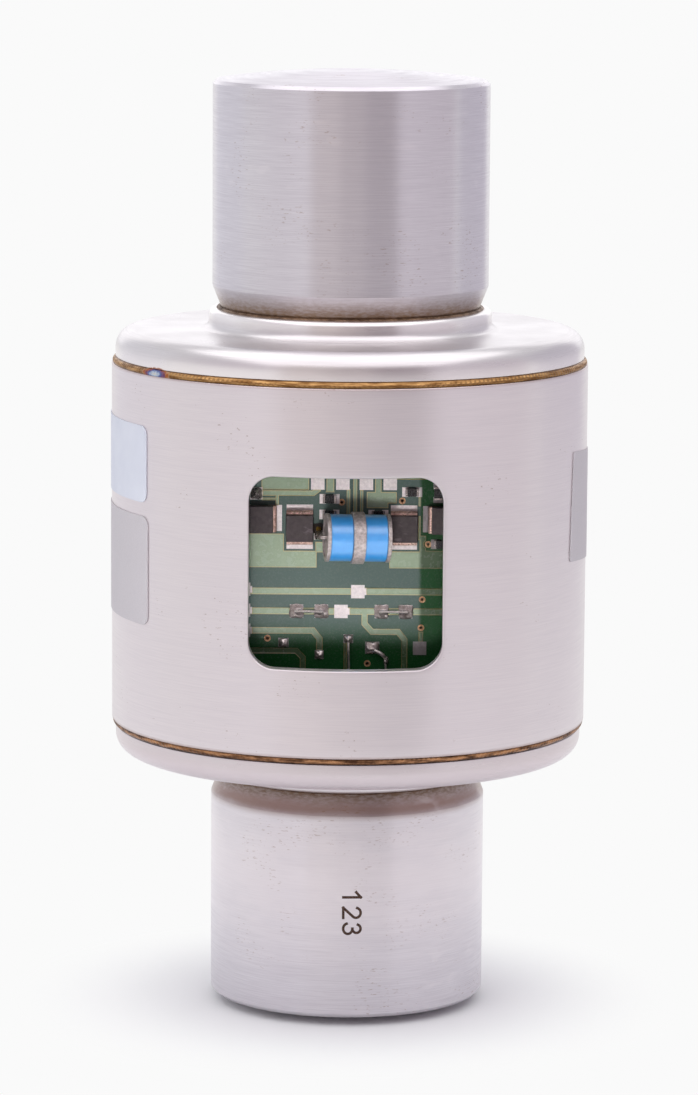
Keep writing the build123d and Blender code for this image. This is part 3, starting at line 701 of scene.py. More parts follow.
# Stainless bar, finely turned: the bright rings over and under the can, with painted light and shade
COVER_STEEL = Finish(
    "turned_stainless_cover", "#dfdbdc", "#d5d1d2", 1.0, (0.27, 0.33),
    Pattern.TURNED, (9.0, 9.0, 0.12), 0.001, 0.58,
    layers=(
        # Painted shade: the lower cover darker
        StainAndPaintedLight("#d9ced1", 43.0, 50.0, 1.0, 8.0),
        # Painted highlights: the upper cover's side and its collar top lighter
        StainAndPaintedLight("#f2ecec", 105.2, 107.8, 1.0, 8.0),
        StainAndPaintedLight("#f9f5f4", 111.5, 109.6, 1.0, 8.0),
        HEAT_SPOT,
    ),
)
# Stainless bar, turned about the gland's own axis
BOSS_STEEL = Finish(
    "turned_stainless_boss", "#dad4d6", "#ccc6c8", 1.0, (0.22, 0.32), Pattern.GRAIN, (3.0, 0.2, 3.0), 0.002
)
# Stainless weld metal as laid: rippled, straw to brown from its heat
UPPER_WELD = Finish(
    "straw_tinted_weld", "#c69b66", "#7f5932", 1.0, (0.25, 0.4), Pattern.CLOUDS, (3.0, 3.0, 0.3), 0.01,
    layers=(StainAndPaintedLight("#6a4a34", 104.7, 104.45, 0.8, 1.2), StainAndPaintedLight("#33201a", 103.65, 104.0, 1.0, 2.5), HEAT_SPOT),
)
LOWER_WELD = Finish(
    "brown_tinted_weld", "#b98862", "#4c3224", 1.0, (0.25, 0.4), Pattern.CLOUDS, (3.0, 3.0, 0.5), 0.01,
    layers=(StainAndPaintedLight("#1c1210", 45.3, 45.75, 0.95, 2.5), StainAndPaintedLight("#3a2820", 46.3, 46.05, 0.8, 2.5)),
)
COLLAR_WELD = Finish(
    "dark_tinted_weld", "#8d745f", "#584436", 1.0, (0.3, 0.5), Pattern.CLOUDS, (2.0, 2.0, 0.6), 0.01
)
# Green solder mask on glass-fibre laminate: smooth and glossy, with painted light and shade
BOARD_MASK = Finish(
    "green_mask_on_laminate", "#16421f", "#143b1c", 0.0, (0.26, 0.28), Pattern.GRAIN, (0.3,) * 3, 0.0,
    # Painted light: lighter in the haze; the dark green right of its edge and at the foot is painted shade
    layers=(PaintedLitHaze("#53645e", "#51615b"),),
    ior=1.3,
)
TRACK_MASK = Finish(
    "green_mask_on_copper", "#405239", "#3c4d35", 0.0, (0.22, 0.3), Pattern.GRAIN, (0.9,) * 3, 0.003,
    # Painted light: the copper under the mask lighter in the haze, darker beyond it as painted shade
    layers=(PaintedLitHaze("#94a48a", "#8b9b81"),),
)
# The mask is thinnest over the copper's edges, where its colour comes through
TRACK_EDGE = Finish(
    "thin_mask_on_edge", "#7c6c48", "#5f5c40", 0.0, (0.25, 0.32), Pattern.GRAIN, (0.5,) * 3, 0.002,
    # Painted light: the thin edges lighter in the haze, darker beyond it as painted shade
    layers=(PaintedLitHaze("#c0ad80", "#a9a476"),),
)
# Tin on copper pads: slightly dimpled and dulled; bright in the painted haze, grey in painted shade beyond
# it
TIN_PLATE = Finish(
    "tinned_pad", "#8f8889", "#827b7c", 0.45, (0.4, 0.55), Pattern.GRAIN, (0.5,) * 3, 0.01,
    layers=(PaintedLitHaze("#f0e6e5", "#ddd3d3"),),
)
# Tarnished copper tubes of the board's plated holes
HOLE_COPPER = Finish(
    "tarnished_copper", "#d8ae88", "#a87a58", 0.7, (0.35, 0.5), Pattern.GRAIN, (0.3,) * 3, 0.004
)
# Hand-laid solder: satin, dulled brown in patches
SOLDER = Finish(
    "dulled_solder", "#cbc1bd", "#877c78", 0.8, (0.16, 0.34), Pattern.CLOUDS, (0.8,) * 3, 0.008,
    coat=0.5,
    coat_roughness=0.12,
)
# Bare tinned copper wire, drawn smooth
BARE_WIRE = Finish(
    "bare_tinned_wire", "#dcd4d0", "#b4aaa6", 0.8, (0.25, 0.35), Pattern.GRAIN, (0.4,) * 3, 0.004, coat=0.3
)
# Flux left beside the solder: a dark ring of scorched resin and clear amber resin
SCORCHED_FLUX = Finish(
    "scorched_flux", "#2e241c", "#1f1814", 0.0, (0.25, 0.4), Pattern.GRAIN, (0.4,) * 3, 0.01
)
AMBER_FLUX = Finish("amber_flux", "#a88a3c", "#7a5f2a", 0.0, (0.15, 0.25), Pattern.GRAIN, (0.4,) * 3, 0.01)
# Moulded epoxy: dark brown grey, matt
DIODE_EPOXY = Finish(
    "moulded_epoxy", "#423839", "#372e30", 0.0, (0.4, 0.55), Pattern.GRAIN, (0.6,) * 3, 0.006,
    layers=(Specks("#6a5f63", (1.4, 1.4, 0.5), (0.58, 0.7), 2.5, (0.48, 0.6), 0.5),),
)
# Tinned copper strip with solder drawn up it
TERMINAL_TIN = Finish(
    "tinned_strip", "#ecc9bb", "#b08c80", 0.6, (0.25, 0.42), Pattern.CLOUDS, (0.7,) * 3, 0.03
)
# Fired glaze on the chips' tops: near black and smooth
CHIP_GLAZE = Finish("black_glaze", "#2a2729", "#1d1a1c", 0.0, (0.2, 0.35), Pattern.GRAIN, (0.2,) * 3, 0.002)
# Glazed blue ceramic: glossy, darker in specks where it is chipped
BLUE_CERAMIC = Finish(
    "blue_ceramic", "#2e91da", "#3698de", 0.0, (0.3, 0.4), Pattern.CLOUDS, (1.2,) * 3, 0.003,
    coat=1.0,
    coat_roughness=0.3,
    coat_ior=2.2,
    layers=(Specks("#2a62a0", (0.5,) * 3, (0.62, 0.7), 2.0, (0.48, 0.6), 0.5),),
)
# Nickel-iron electrode, tin dipped: grey, grainy
ELECTRODE_TIN = Finish(
    "tin_dipped_electrode", "#d0c4c2", "#a59a96", 0.5, (0.35, 0.5), Pattern.GRAIN, (0.5,) * 3, 0.03
)
# Printed polyester film with a satin face
WHITE_FILM = Finish(
    "satin_white_film", "#dadde6", "#d5d8e2", 0.0, (0.5, 0.55), Pattern.CLOUDS, (6.0,) * 3, 0.002, ior=1.2
)
SILVER_FILM = Finish(
    "satin_silver_film", "#cac5c8", "#c3bec1", 0.0, (0.5, 0.55), Pattern.GRAIN, (0.2,) * 3, 0.002, ior=1.2
)
# Number struck into the column: its sides lie in shade
STRUCK_MARK = Finish("struck_mark", "#66524a", "#43352f", 1.0, (0.4, 0.55), Pattern.GRAIN, (0.3,) * 3, 0.01)
# Free-cutting brass, turned bright
SPACER_BRASS = Finish(
    "turned_brass", "#c9a862", "#b59450", 1.0, (0.25, 0.35), Pattern.TURNED, (4.0, 0.2, 4.0), 0.002
)
# Plain cold-headed screw steel: grey, faintly grained
SCREW_STEEL = Finish("plain_steel", "#b9b6b4", "#a09d9b", 1.0, (0.25, 0.4), Pattern.GRAIN, (0.4,) * 3, 0.003)
# Polyimide film of the strain gauges: amber and glossy
GAUGE_FILM = Finish("amber_film", "#b8842f", "#a4722a", 0.0, (0.25, 0.35), Pattern.GRAIN, (0.5,) * 3, 0.001)
# Extruded white sheath of the gauges' leads
LEAD_SHEATH = Finish("white_sheath", "#d8d4cc", "#cfcac1", 0.0, (0.4, 0.5), Pattern.GRAIN, (0.6,) * 3, 0.002)
# Moulded black rubber: dull, finely grained
SEAL_RUBBER = Finish("seal_rubber", "#1a1a1b", "#222223", 0.0, (0.6, 0.75), Pattern.GRAIN, (0.2,) * 3, 0.006)
# Brass under bright nickel plate: smooth, slightly warm grey
NICKEL_BRASS = Finish(
    "nickel_plated_brass", "#cfccc4", "#c2beb6", 1.0, (0.16, 0.26), Pattern.CLOUDS, (5.0,) * 3, 0.001
)


@dataclass
class LoadColumn:
    """The one-piece column: domed stubs, cones, necks and the square-flatted gauge section."""

    height: float = 150.0
    stub: float = 22.0
    crown: float = 150.0
    land: float = 5.0
    chamfer: float = 0.6
    step_rise: float = 41.0
    neck: float = 20.7
    cone: float = 3.3
    shoulder_rise: float = 22.0
    gauge: float = 16.0
    gauge_flat: float = 15.0
    gauge_flat_half: float = 12.0
    spacer_flat: float = 19.0
    spacer_flat_top: float = 31.0
    row_gap: float = 0.01
    crown_points: int = 24
    corner_radii: tuple[float, ...] = (0.15, 0.15, 0.25, 0.0, 0.8, 4.0)
    count: int = 512

    def crown_drop(self, radius: Points) -> Points:
        """How far a sphere through the land's rim has fallen at a radius."""
        return math.sqrt(self.crown**2 - self.land**2) - np.sqrt(self.crown**2 - radius**2)

    def flank(self) -> Points:
        """Work out the upper half's profile, from the axis down to mid height.

        The crown is a flat land and then an arc of a large circle. Straight runs with rounded
        corners follow, down the stub, in along the cone and down the neck to the gauge section.

        Returns:
            Radius and rise of its points.
        """
        mid = self.height / 2
        end = self.stub - self.chamfer
        radii = np.linspace(self.land, end, self.crown_points)
        crown = np.stack([radii, mid - self.crown_drop(radii)], -1)
        rim = crown[-1, 1]
        corners = [
            tuple(crown[-2]),
            (end, rim),
            (self.stub, rim - self.chamfer),
            (self.stub, self.step_rise),
            (self.neck, self.step_rise - self.cone),
            (self.neck, self.shoulder_rise),
            (self.gauge, self.shoulder_rise),
            (self.gauge, 0.0),
        ]
        side = rounded(corners, self.corner_radii)
        top, foot = self.spacer_flat_top, self.gauge_flat_half
        lines = [top, top - self.row_gap, foot + self.row_gap, foot]
        return self.with_rows(np.concatenate([[[0.0, mid]], crown[:-1], side[1:]]), lines)

    @staticmethod
    def with_rows(profile: Points, rises: list[float]) -> Points:
        """Add points to a profile where it passes some rises, in between its own points.

        Args:
            profile: Radius and rise of its points, from the top down.
            rises: The rises.

        Returns:
            The fuller profile.
        """
        for rise in rises:
            at = int(np.argmax(profile[:, 1] < rise))
            before, after = profile[at - 1], profile[at]
            share = (before[1] - rise) / (before[1] - after[1])
            profile = np.insert(profile, at, before + share * (after - before), axis=0)
        return profile

    def build(self) -> None:
        """Turn the profile and cut the flats.

        The radius at an azimuth is the profile's, or the flat's distance divided by the
        cosine of the angle from the flat's middle where that is less.
        """
        upper = self.flank()
        lower = upper[::-1][1:] * [1, -1]
        profile = np.concatenate([upper, lower])
        angle = azimuths(self.count)[None, :]
        radius = np.repeat(profile[:, :1], self.count, 1)
        rise = profile[:, 1:]
        quarter = np.abs((angle + math.pi / 4) % (math.pi / 2) - math.pi / 4)
        in_gauge = np.abs(rise) <= self.gauge_flat_half
        radius = np.where(in_gauge, np.minimum(radius, self.gauge_flat / np.cos(quarter)), radius)
        front = np.cos(angle)
        below = np.abs(rise) <= self.spacer_flat_top - self.row_gap / 2
        in_spacer = below & (np.abs(rise) >= self.shoulder_rise - 1)
        flat = np.where(front > 0.5, self.spacer_flat / np.maximum(front, 0.5), np.inf)
        radius = np.where(in_spacer, np.minimum(radius, flat), radius)
        points = around(radius, rise + self.height / 2, angle)
        piece = build("column", points, [grid_faces(len(profile), self.count, False, True)], COLUMN_STEEL)
        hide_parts("load_column")


@dataclass
class Can:
    """The welded can: shell with its window, two covers and four weld beads."""

    # The shell, and the patch of its mesh that has the window in it
    radius: float = 38.0
    wall: float = 2.0
    half: float = 28.7
    edge: float = 0.22
    window: float = 29.8
    window_corner: float = 4.0
    window_turn: float = -0.75
    window_round: float = 0.3
    patch_angle: float = 52.0
    side_points: int = 40
    corner_points: int = 16
    rest_points: int = 289
    face_rings: int = 14
    bore_rings: int = 6
    spread: float = 1.3
    lip_smooth: float = 40.0
    seam_merge: float = 2e-3
    # The covers: rise is over the shell's end, and a register sits inside the shell
    cover_inset: float = 0.6
    cover_rise: float = 5.4
    cover_bore: float = 20.75
    cover_wall: float = 1.6
    collar_wall: float = 1.8
    collar_rise: float = 3.2
    collar_chamfer: float = 0.6
    cover_radii: tuple[float, ...] = (0.0, 0.15, 3.0, 1.4, 0.9, 0.1, 0.0, 0.2, 1.4, 0.2, 0.2)
    register_gap: float = 0.05
    register_wall: float = 1.5
    register_depth: float = 2.0
    # The beads: radius at the foot, how far it draws in and its swell; ripples' height and pitch
    weld: float = 1.0
    weld_depth: float = 0.6
    rim_bead: Triple = (37.8, 0.45, 0.2)
    rim_ripple: Pair = (0.045, 0.8)
    collar_bead: Triple = (21.35, 0.65, 0.15)
    collar_ripple: Pair = (0.03, 0.7)
    bead_points: int = 1800
    bead_rows: int = 9

    @staticmethod
    def all_round(foot: Points, corner: Points) -> Points:
        """Turn the foot's run and the corner after it by quarters into a closed outline.

        Args:
            foot: Points of the lower side.
            corner: Points of the corner at its right.

        Returns:
            The outline's points.
        """
        run = np.concatenate([foot, corner])
        quarters = [(1, 0), (0, 1), (-1, 0), (0, -1)]
        return np.concatenate([run @ np.array([[c, s], [-s, c]]) for c, s in quarters])

    def window_outline(self, grow: float) -> Points:
        """Outline of the window seen from in front, run round from its lower left corner.

        Args:
            grow: How much larger than the window it is on each side.

        Returns:
            Sideways and upward distances from the window's middle.
        """
        half = self.window / 2
        straight = half - self.window_corner
        radius = self.window_corner + grow
        side = np.linspace(-straight, straight, self.side_points + 1)
        turn = np.linspace(0, math.pi / 2, self.corner_points + 1)[1:-1]
        foot = np.stack([side, np.full_like(side, -half - grow)], -1)
        corner = np.stack([straight + radius * np.sin(turn), -straight - radius * np.cos(turn)], -1)
        return self.all_round(foot, corner)

    def patch_outline(self) -> Points:
        """Outline of the patch round the window, point for point.

        Returns:
            Azimuth and rise of its points.
        """
        side = np.linspace(-1, 1, self.side_points + 1)
        corner = np.ones(self.corner_points - 1)
        unit = self.all_round(np.stack([side, -np.ones_like(side)], -1), np.stack([corner, -corner], -1))
        return unit * [math.radians(self.patch_angle), self.half - self.edge]

    def rings(self, radius: float, grow: float, share: Points) -> Points:
        """Rings of the patch round the window at one radius.

        A ring is the window's outline, whose sideways distance is a chord of the shell,
        blended by its share into the patch's outline.

        Args:
            radius: Radius of the surface.
            grow: How much larger than the window the first outline is on each side.
            share: Each ring's share.

        Returns:
            The rings' points.
        """
        outline = self.window_outline(grow)
        angle = math.radians(self.window_turn) + np.arcsin(outline[:, 0] / radius)
        share = share[:, None, None]
        ring = np.stack([angle, outline[:, 1]], -1) * (1 - share) + self.patch_outline() * share
        return around(radius, ring[..., 1] + MID, ring[..., 0])

    def rim(self) -> list[Points]:
        """Rings over the window's rounded outer edge, from the hole's wall to the face.

        In section they lie on a quarter circle: they grow by one minus its cosine and rise to
        the face by its sine.

        Returns:
            The rings' points.
        """
        turn = np.linspace(0, math.pi / 2, 5)[:-1]
        grows, drops = self.window_round * (1 - np.cos(turn)), self.window_round * (1 - np.sin(turn))
        return [self.rings(self.radius - drop, grow, np.zeros(1)) for grow, drop in zip(grows, drops)]

    def shell(self) -> None:
        """Build the shell as one closed skin.

        The patch round the window runs from inside over the rounded edge to outside. Cylinders
        make up the rest of both faces, and a lip with a rounded corner closes each end.
        """
        bore = self.radius - self.wall
        outer = self.rings(self.radius, self.window_round, np.linspace(0, 1, self.face_rings) ** self.spread)
        inner = self.rings(bore, 0.0, np.linspace(0, 1, self.bore_rings))
        rest = np.linspace(self.patch_angle, 360 - self.patch_angle, self.rest_points) * math.pi / 180
        span = np.linspace(-1, 1, self.side_points + 1)
        rises = span[:, None] * (self.half - self.edge)
        backs = [around(radius, rises + MID, rest[None, :]) for radius in (self.radius, bore)]
        whole = np.concatenate([span * math.radians(self.patch_angle), rest[1:-1]])
        corners = [
            (self.radius, self.half - self.edge - 1),
            (self.radius, self.half),
            (bore, self.half),
            (bore, self.half - self.edge),
        ]
        lip = rounded(corners, (self.edge, 0.0), 4)[1:]
        lips = [around(lip[:, :1], sign * lip[:, 1:] + MID, whole[None, :]) for sign in (-1, 1)]
        points, faces = gather([np.concatenate([inner[::-1], *self.rim(), outer]), *backs, *lips], (1, 2))
        piece = build("shell_body", points, faces, CAN_STEEL, self.lip_smooth, self.seam_merge)
        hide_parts("shell")

    def cover_profile(self) -> Points:
        """Work out the upper cover's closed profile: straight runs with rounded corners.

        Returns:
            Radius and rise of its points.
        """
        outer = self.radius - self.cover_inset
        seam = self.half + self.weld
        top = self.half + self.cover_rise
        collar = self.cover_bore + self.collar_wall
        rim = top + self.collar_rise
        under = top - self.cover_wall
        register = self.radius - self.wall - self.register_gap
        inner = register - self.register_wall
        foot = self.half - self.register_depth
        start = (register, self.half + 0.5)
        corners = [
            start,
            (register, seam),
            (outer, seam),
            (outer, top),
            (collar, top),
            (collar, rim),
            (self.cover_bore + self.collar_chamfer, rim),
            (self.cover_bore, rim - self.collar_chamfer),
            (self.cover_bore, under),
            (inner, under),
            (inner, foot),
            (register, foot),
            start,
        ]
        return rounded(corners, self.cover_radii, 10)[:-1]

    def covers(self) -> None:
        """Turn both covers from one profile."""
        profile = self.cover_profile()
        for name, sign in (("upper", 1), ("lower", -1)):
            piece = turned(f"{name}_cover_ring", profile * [1, sign] + [0, MID], COVER_STEEL)
            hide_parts(f"{name}_cover")

    def bead(self, name: str, node: str, profile: Points, ripple: Pair, finish: Finish) -> None:
        """Build a weld bead whose surface has the ripples of its laying.

        A ripple moves each point out by a cosine of its distance along the bead, which
        leads at the bead's middle so that the ripples bow, times how near it is to the
        middle. Two slow waves change the pitch a little.

        Args:
            name: The piece's name.
            node: The CAD node it replaces.
            profile: Radius and height of its closed section, its outer run first.
            ripple: Height of the ripples, and the distance between them.
            finish: Its finish.
        """
        angle = azimuths(self.bead_points)[None, :]
        across = np.linspace(-1, 1, self.bead_rows)[:, None]
        radius = np.repeat(profile[:, :1], self.bead_points, 1)
        waves = np.round(FULL_TURN * profile[0, 0] / ripple[1])
        drift = 1.3 * np.sin(7 * angle) + 0.8 * np.sin(19 * angle + 1)
        phase = waves * angle + 1.6 * np.cos(across * 1.5) + drift
        swell = 1 - across**2
        radius[: self.bead_rows] += ripple[0] * swell * (np.cos(phase) + 0.4 * np.sin(5 * angle + 2))
        faces = grid_faces(len(profile), self.bead_points, True, True)
        piece = build(name, around(radius, profile[:, 1:], angle), [faces], finish, BEAD_SMOOTH)
        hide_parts(node)

    def welds(self) -> None:
        """Lay the four beads.

        A section's outer run starts at the bead's radius, draws in by its fall along a straight
        line, and swells by half a sine wave: outwards at the rim and upwards at the collar.
        """
        t = np.linspace(0, 1, self.bead_rows)
        swell = np.sin(math.pi * t)
        bore = self.radius - self.wall
        top = self.half + self.cover_rise + self.collar_rise
        foot, fall, proud = self.rim_bead
        rim = np.stack([foot - fall * t + proud * swell, self.half + self.weld * t], -1)
        rim_back = [[bore, self.half + self.weld], [bore, self.half]]
        foot, fall, proud = self.collar_bead
        collar = np.stack([foot - fall * t, top + 0.3 * t + proud * swell], -1)
        collar_back = [[foot - fall, top - self.weld_depth], [self.cover_bore, top - self.weld_depth]]
        for name, sign, finish in (("upper", 1, UPPER_WELD), ("lower", -1, LOWER_WELD)):
            profile = np.concatenate([rim, rim_back]) * [1, sign] + [0, MID]
            self.bead(f"{name}_rim_bead", f"{name}_rim_weld", profile, self.rim_ripple, finish)
            profile = np.concatenate([collar, collar_back]) * [1, sign] + [0, MID]
            self.bead(f"{name}_collar_bead", f"{name}_collar_weld", profile, self.collar_ripple, COLLAR_WELD)

    def build(self) -> None:
        """Build every piece of the can."""
        self.shell()
        self.covers()
        self.welds()


@dataclass
class Sticker:
    """A thin film on the shell, its corners rounded."""

    name: str
    node: str
    slot: str
    near: float
    arc: float
    rise: float
    height: float
    tilt: float
    finish: Finish
    corner: float = 1.6
    thick: float = 0.12
    radius: float = 38.02
    rows: int = 33
    cols: int = 81

    def build(self) -> None:
        """Wrap a rounded rectangle round the shell.

        A square grid is drawn in towards a rounded outline: each row is as wide as the
        outline is at its height. Then it turns by the tilt about the middle of its near end,
        and its length becomes azimuth.
        """
        half_w, half_h = self.arc / 2, self.height / 2
        v = np.sin(np.linspace(-math.pi / 2, math.pi / 2, self.rows)) * half_h
        over = np.clip(np.abs(v) - (half_h - self.corner), 0, self.corner)
        reach = half_w - self.corner + np.sqrt(np.maximum(self.corner**2 - over**2, 0))
        u = np.linspace(-1, 1, self.cols)[None, :] * reach[:, None]
        v = np.repeat(v[:, None], self.cols, 1)
        c, s = math.cos(math.radians(self.tilt)), math.sin(math.radians(self.tilt))
        near = math.copysign(half_w, -self.near)
        u, v = c * u - s * v, s * (u - near) + c * v
        middle = math.radians(self.near) + math.copysign(half_w / self.radius, self.near)
        angle = middle + u / self.radius
        front = around(self.radius + self.thick, v + MID + self.rise, angle)
        back = around(self.radius, v + MID + self.rise, angle)
        rows, cols = self.rows, self.cols
        faces = grid_faces(rows, cols)
        right, top = np.arange(1, rows) * cols + cols - 1, (rows - 1) * cols + np.arange(cols - 2, -1, -1)
        loop = np.concatenate([np.arange(cols), right, top, np.arange(rows - 2, 0, -1) * cols])
        after = np.roll(loop, -1)
        side = np.stack([loop, after, after + rows * cols, loop + rows * cols], -1)
        points = np.concatenate([front.reshape(-1, 3), back.reshape(-1, 3)])
        piece = build(self.name, points, [faces, faces + rows * cols, side], self.finish)
        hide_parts(self.node)


# Where the board's face is along Y, and how far its copper stands off it
BOARD_FACE = -25.0
COPPER = 0.07


def on_board(x: Points, rise: Points, lift: Points) -> Points:
    """Place points by x, rise from mid height, and lift off the board's face."""
    x, rise, lift = np.broadcast_arrays(x, rise, lift)
    return np.stack([x, BOARD_FACE - lift, rise + MID], -1)


@dataclass(frozen=True)
class Blob:
    """Solder on one pad.

    Attributes:
        place: The pad's x and rise.
        size: The solder's width and height.
        top: How far it rises.
        ridge: Direction in degrees in which its crest runs out.
        crest: How far the crest rises over the rest.
        seed: Shifts its wrinkles.
    """

    place: Pair
    size: Pair
    top: float
    ridge: float = 0.0
    crest: float = 0.0
    seed: float = 0.0

    def points(self) -> Points:
        """Work out its rings, from its crown out and under to its foot's middle.

        The rings are round at the crown and grow square towards the foot, with the cube of
        the distance. The height falls from the crown by one minus the distance squared, to
        the power 0.6, wrinkled by slow waves, and the crest adds a bell curve across its line.

        Returns:
            The rings' points.
        """
        turn = azimuths(48)[None, :]
        out = np.sin(np.linspace(0, 1, 14) * math.pi / 2)[:, None]
        square = 1 / (np.abs(np.cos(turn)) ** 5 + np.abs(np.sin(turn)) ** 5) ** 0.2
        ragged = 1 - 0.03 * np.sin(3 * turn + self.seed) - 0.025 * np.sin(7 * turn + 2 * self.seed)
        reach = 1 + (square * ragged - 1) * out**3
        u, v = out * reach * np.cos(turn), out * reach * np.sin(turn)
        fall = np.maximum(1 - out**2, 0) ** 0.6
        waves = 1 + 0.16 * out * np.sin(3 * turn + 2 * self.seed) + 0.1 * np.sin(5 * u + 4 * v + self.seed)
        a = math.radians(self.ridge)
        along, across = u * math.cos(a) + v * math.sin(a), v * math.cos(a) - u * math.sin(a)
        line = np.exp(-((across / 0.28) ** 2)) / (1 + np.exp(-8 * (along + 0.1)))
        lift = self.top * fall * waves + self.crest * line * (1 - out**4) + 0.03
        x, rise = (at + w * size / 2 for at, w, size in zip(self.place, (u, v), self.size))
        top = on_board(x, rise, COPPER + lift)
        last = np.array([[1.0], [0.0]])
        x, rise = (at + last * w[-1:] * size / 2 for at, w, size in zip(self.place, (u, v), self.size))
        foot = on_board(x, rise, COPPER + 0.005)
        return np.concatenate([top, foot])


def carried(path: Points, radius: float | Points, count: int = 16) -> Points:
    """Carry a circle along a path, closed at both ends.

    Each ring lies square to the path's tangent, between the tangent's cross product with
    the board's normal and what is square to both.

    Args:
        path: The path's points.
        radius: The circle's radius, or one for each point of the path.
        count: Points round the circle.

    Returns:
        The rings' points, with a point-like ring at each end.
    """
    along = np.gradient(path, axis=0)
    along /= np.linalg.norm(along, axis=1)[:, None]
    side = np.cross(along, [0.0, -1.0, 0.0])
    side /= np.linalg.norm(side, axis=1)[:, None]
    up = np.cross(side, along)
    turn = azimuths(count)[None, :, None]
    radius = np.broadcast_to(radius, len(path))[:, None, None]
    rings = path[:, None] + radius * (np.cos(turn) * side[:, None] + np.sin(turn) * up[:, None])
    first = np.repeat(path[:1, None], count, 1)
    last = np.repeat(path[-1:, None], count, 1)
    return np.concatenate([first, rings, last])


@dataclass
class HandWork:
    """What was soldered by hand: blobs on the pads, the link wires and the two thin wires."""

    links: tuple[Pair, ...] = ((-8.07, -4.22), (5.16, 8.94))
    link_rise: float = -7.68
    link_radius: float = 0.22
    link_lift: float = 0.45
    link_bow: float = 0.12
    link_overlap: float = 0.3
    pad: float = 2.1
    wire: float = 0.18
    straight_start: Pair = (0.02, -12.0)
    bent_start: Pair = (3.76, -13.4)
    bent_reach: float = 2.1
    wire_end: float = -22.65
    flux: Pair = (-4.69, 5.35)

    def blobs(self) -> tuple[Blob, ...]:
        """List the solder blobs: four on the links' pads, then those on the wires and parts.

        Returns:
            The blobs.
        """
        size = (self.pad * 1.08, self.pad * 1.06)
        linked = tuple(
            Blob((x, self.link_rise), size, 0.22, turn, 0.3, seed)
            for pair, first in zip(self.links, (0.0, 2.1))
            for x, turn, seed in zip(pair, (0.0, 180.0), (first, first + 1.3))
        )
        return linked + (
            Blob((-4.5, -14.55), (1.35, 1.4), 0.4, 270.0, 0.15, 0.4),
            Blob((-10.1, -12.65), (1.5, 1.4), 0.45, 250.0, 0.15, 1.7),
            Blob(self.straight_start, (1.45, 1.35), 0.55, 270.0, 0.1, 3.1),
            Blob(self.bent_start, (2.1, 1.9), 0.5, 300.0, 0.2, 4.4),
            Blob((5.9, -15.4), (0.75, 1.3), 0.5, 270.0, 0.1, 5.2),
            Blob((-4.44, 4.30), (1.75, 1.5), 1.6, 0.0, 0.4, 1.1),
            Blob((-14.4, 10.8), (1.8, 1.8), 0.75, 90.0, 0.2, 0.9),
            Blob((self.straight_start[0], self.wire_end), (1.0, 1.0), 0.45, 90.0, 0.1, 2.2),
            Blob((self.bent_start[0] + self.bent_reach, self.wire_end), (1.0, 1.0), 0.45, 90.0, 0.1, 2.9),
        )

    def solder(self) -> None:
        """Lay every blob, and the flux left above the arrester's bent lead."""
        points, faces = gather([blob.points() for blob in self.blobs()])
        piece = build("laid_solder", points, faces, SOLDER, BLOB_SMOOTH)
        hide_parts("solder_joints")
        for name, size, top, finish in (
            ("scorched_ring", (1.75, 1.6), 0.16, SCORCHED_FLUX),
            ("amber_drop", (0.9, 0.8), 0.3, AMBER_FLUX),
        ):
            points, faces = gather([Blob(self.flux, size, top, seed=0.7).points()])
            build(name, points, faces, finish, BLOB_SMOOTH)

    def wires(self) -> None:
        """Bend the wires.

        A link is a straight run lifted by half a sine wave. The straight thin wire drops from its
        blob within a third of its length, also by half a sine wave. The bent one moves sideways by
        one minus a bell curve, and solder thickens it by a bell curve near its start.
        """
        t = np.linspace(0, 1, 25)
        parts = []
        for left, right in self.links:
            left, right = left - self.link_overlap, right + self.link_overlap
            lift = self.link_lift + self.link_bow * np.sin(math.pi * t)
            path = on_board(left + (right - left) * t, self.link_rise + 0.05 * np.sin(4 * t), lift)
            parts.append(carried(path, self.link_radius))
        points, faces = gather(parts)
        piece = build("bowed_links", points, faces, BARE_WIRE, BLOB_SMOOTH)
        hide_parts("link_wires")
        low = COPPER + self.wire
        lift = low + 0.35 * np.sin(math.pi * np.clip(3 * t, 0, 1))
        x, rise = self.straight_start
        straight = on_board(x + 0.12 * np.sin(3 * t), rise + (self.wire_end - rise) * t, lift)
        u = np.linspace(0, 1, 33)
        knee = self.bent_reach * (1 - np.exp(-((u * 8) ** 2)))
        coat = self.wire * (1 + 0.9 * np.exp(-(((u - 0.12) * 12) ** 2)))
        drop = low + 0.3 * np.sin(math.pi * np.clip(4 * u, 0, 1))
        x, rise = self.bent_start
        bent = on_board(x + knee, rise + (self.wire_end - rise) * u**1.15, drop)
        points, faces = gather([carried(straight, self.wire), carried(bent, coat)])
        piece = build("thin_wires", points, faces, BARE_WIRE, BLOB_SMOOTH)
        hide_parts("signal_wires")

    def build(self) -> None:
        """Lay the solder and bend the wires."""
        self.solder()
        self.wires()


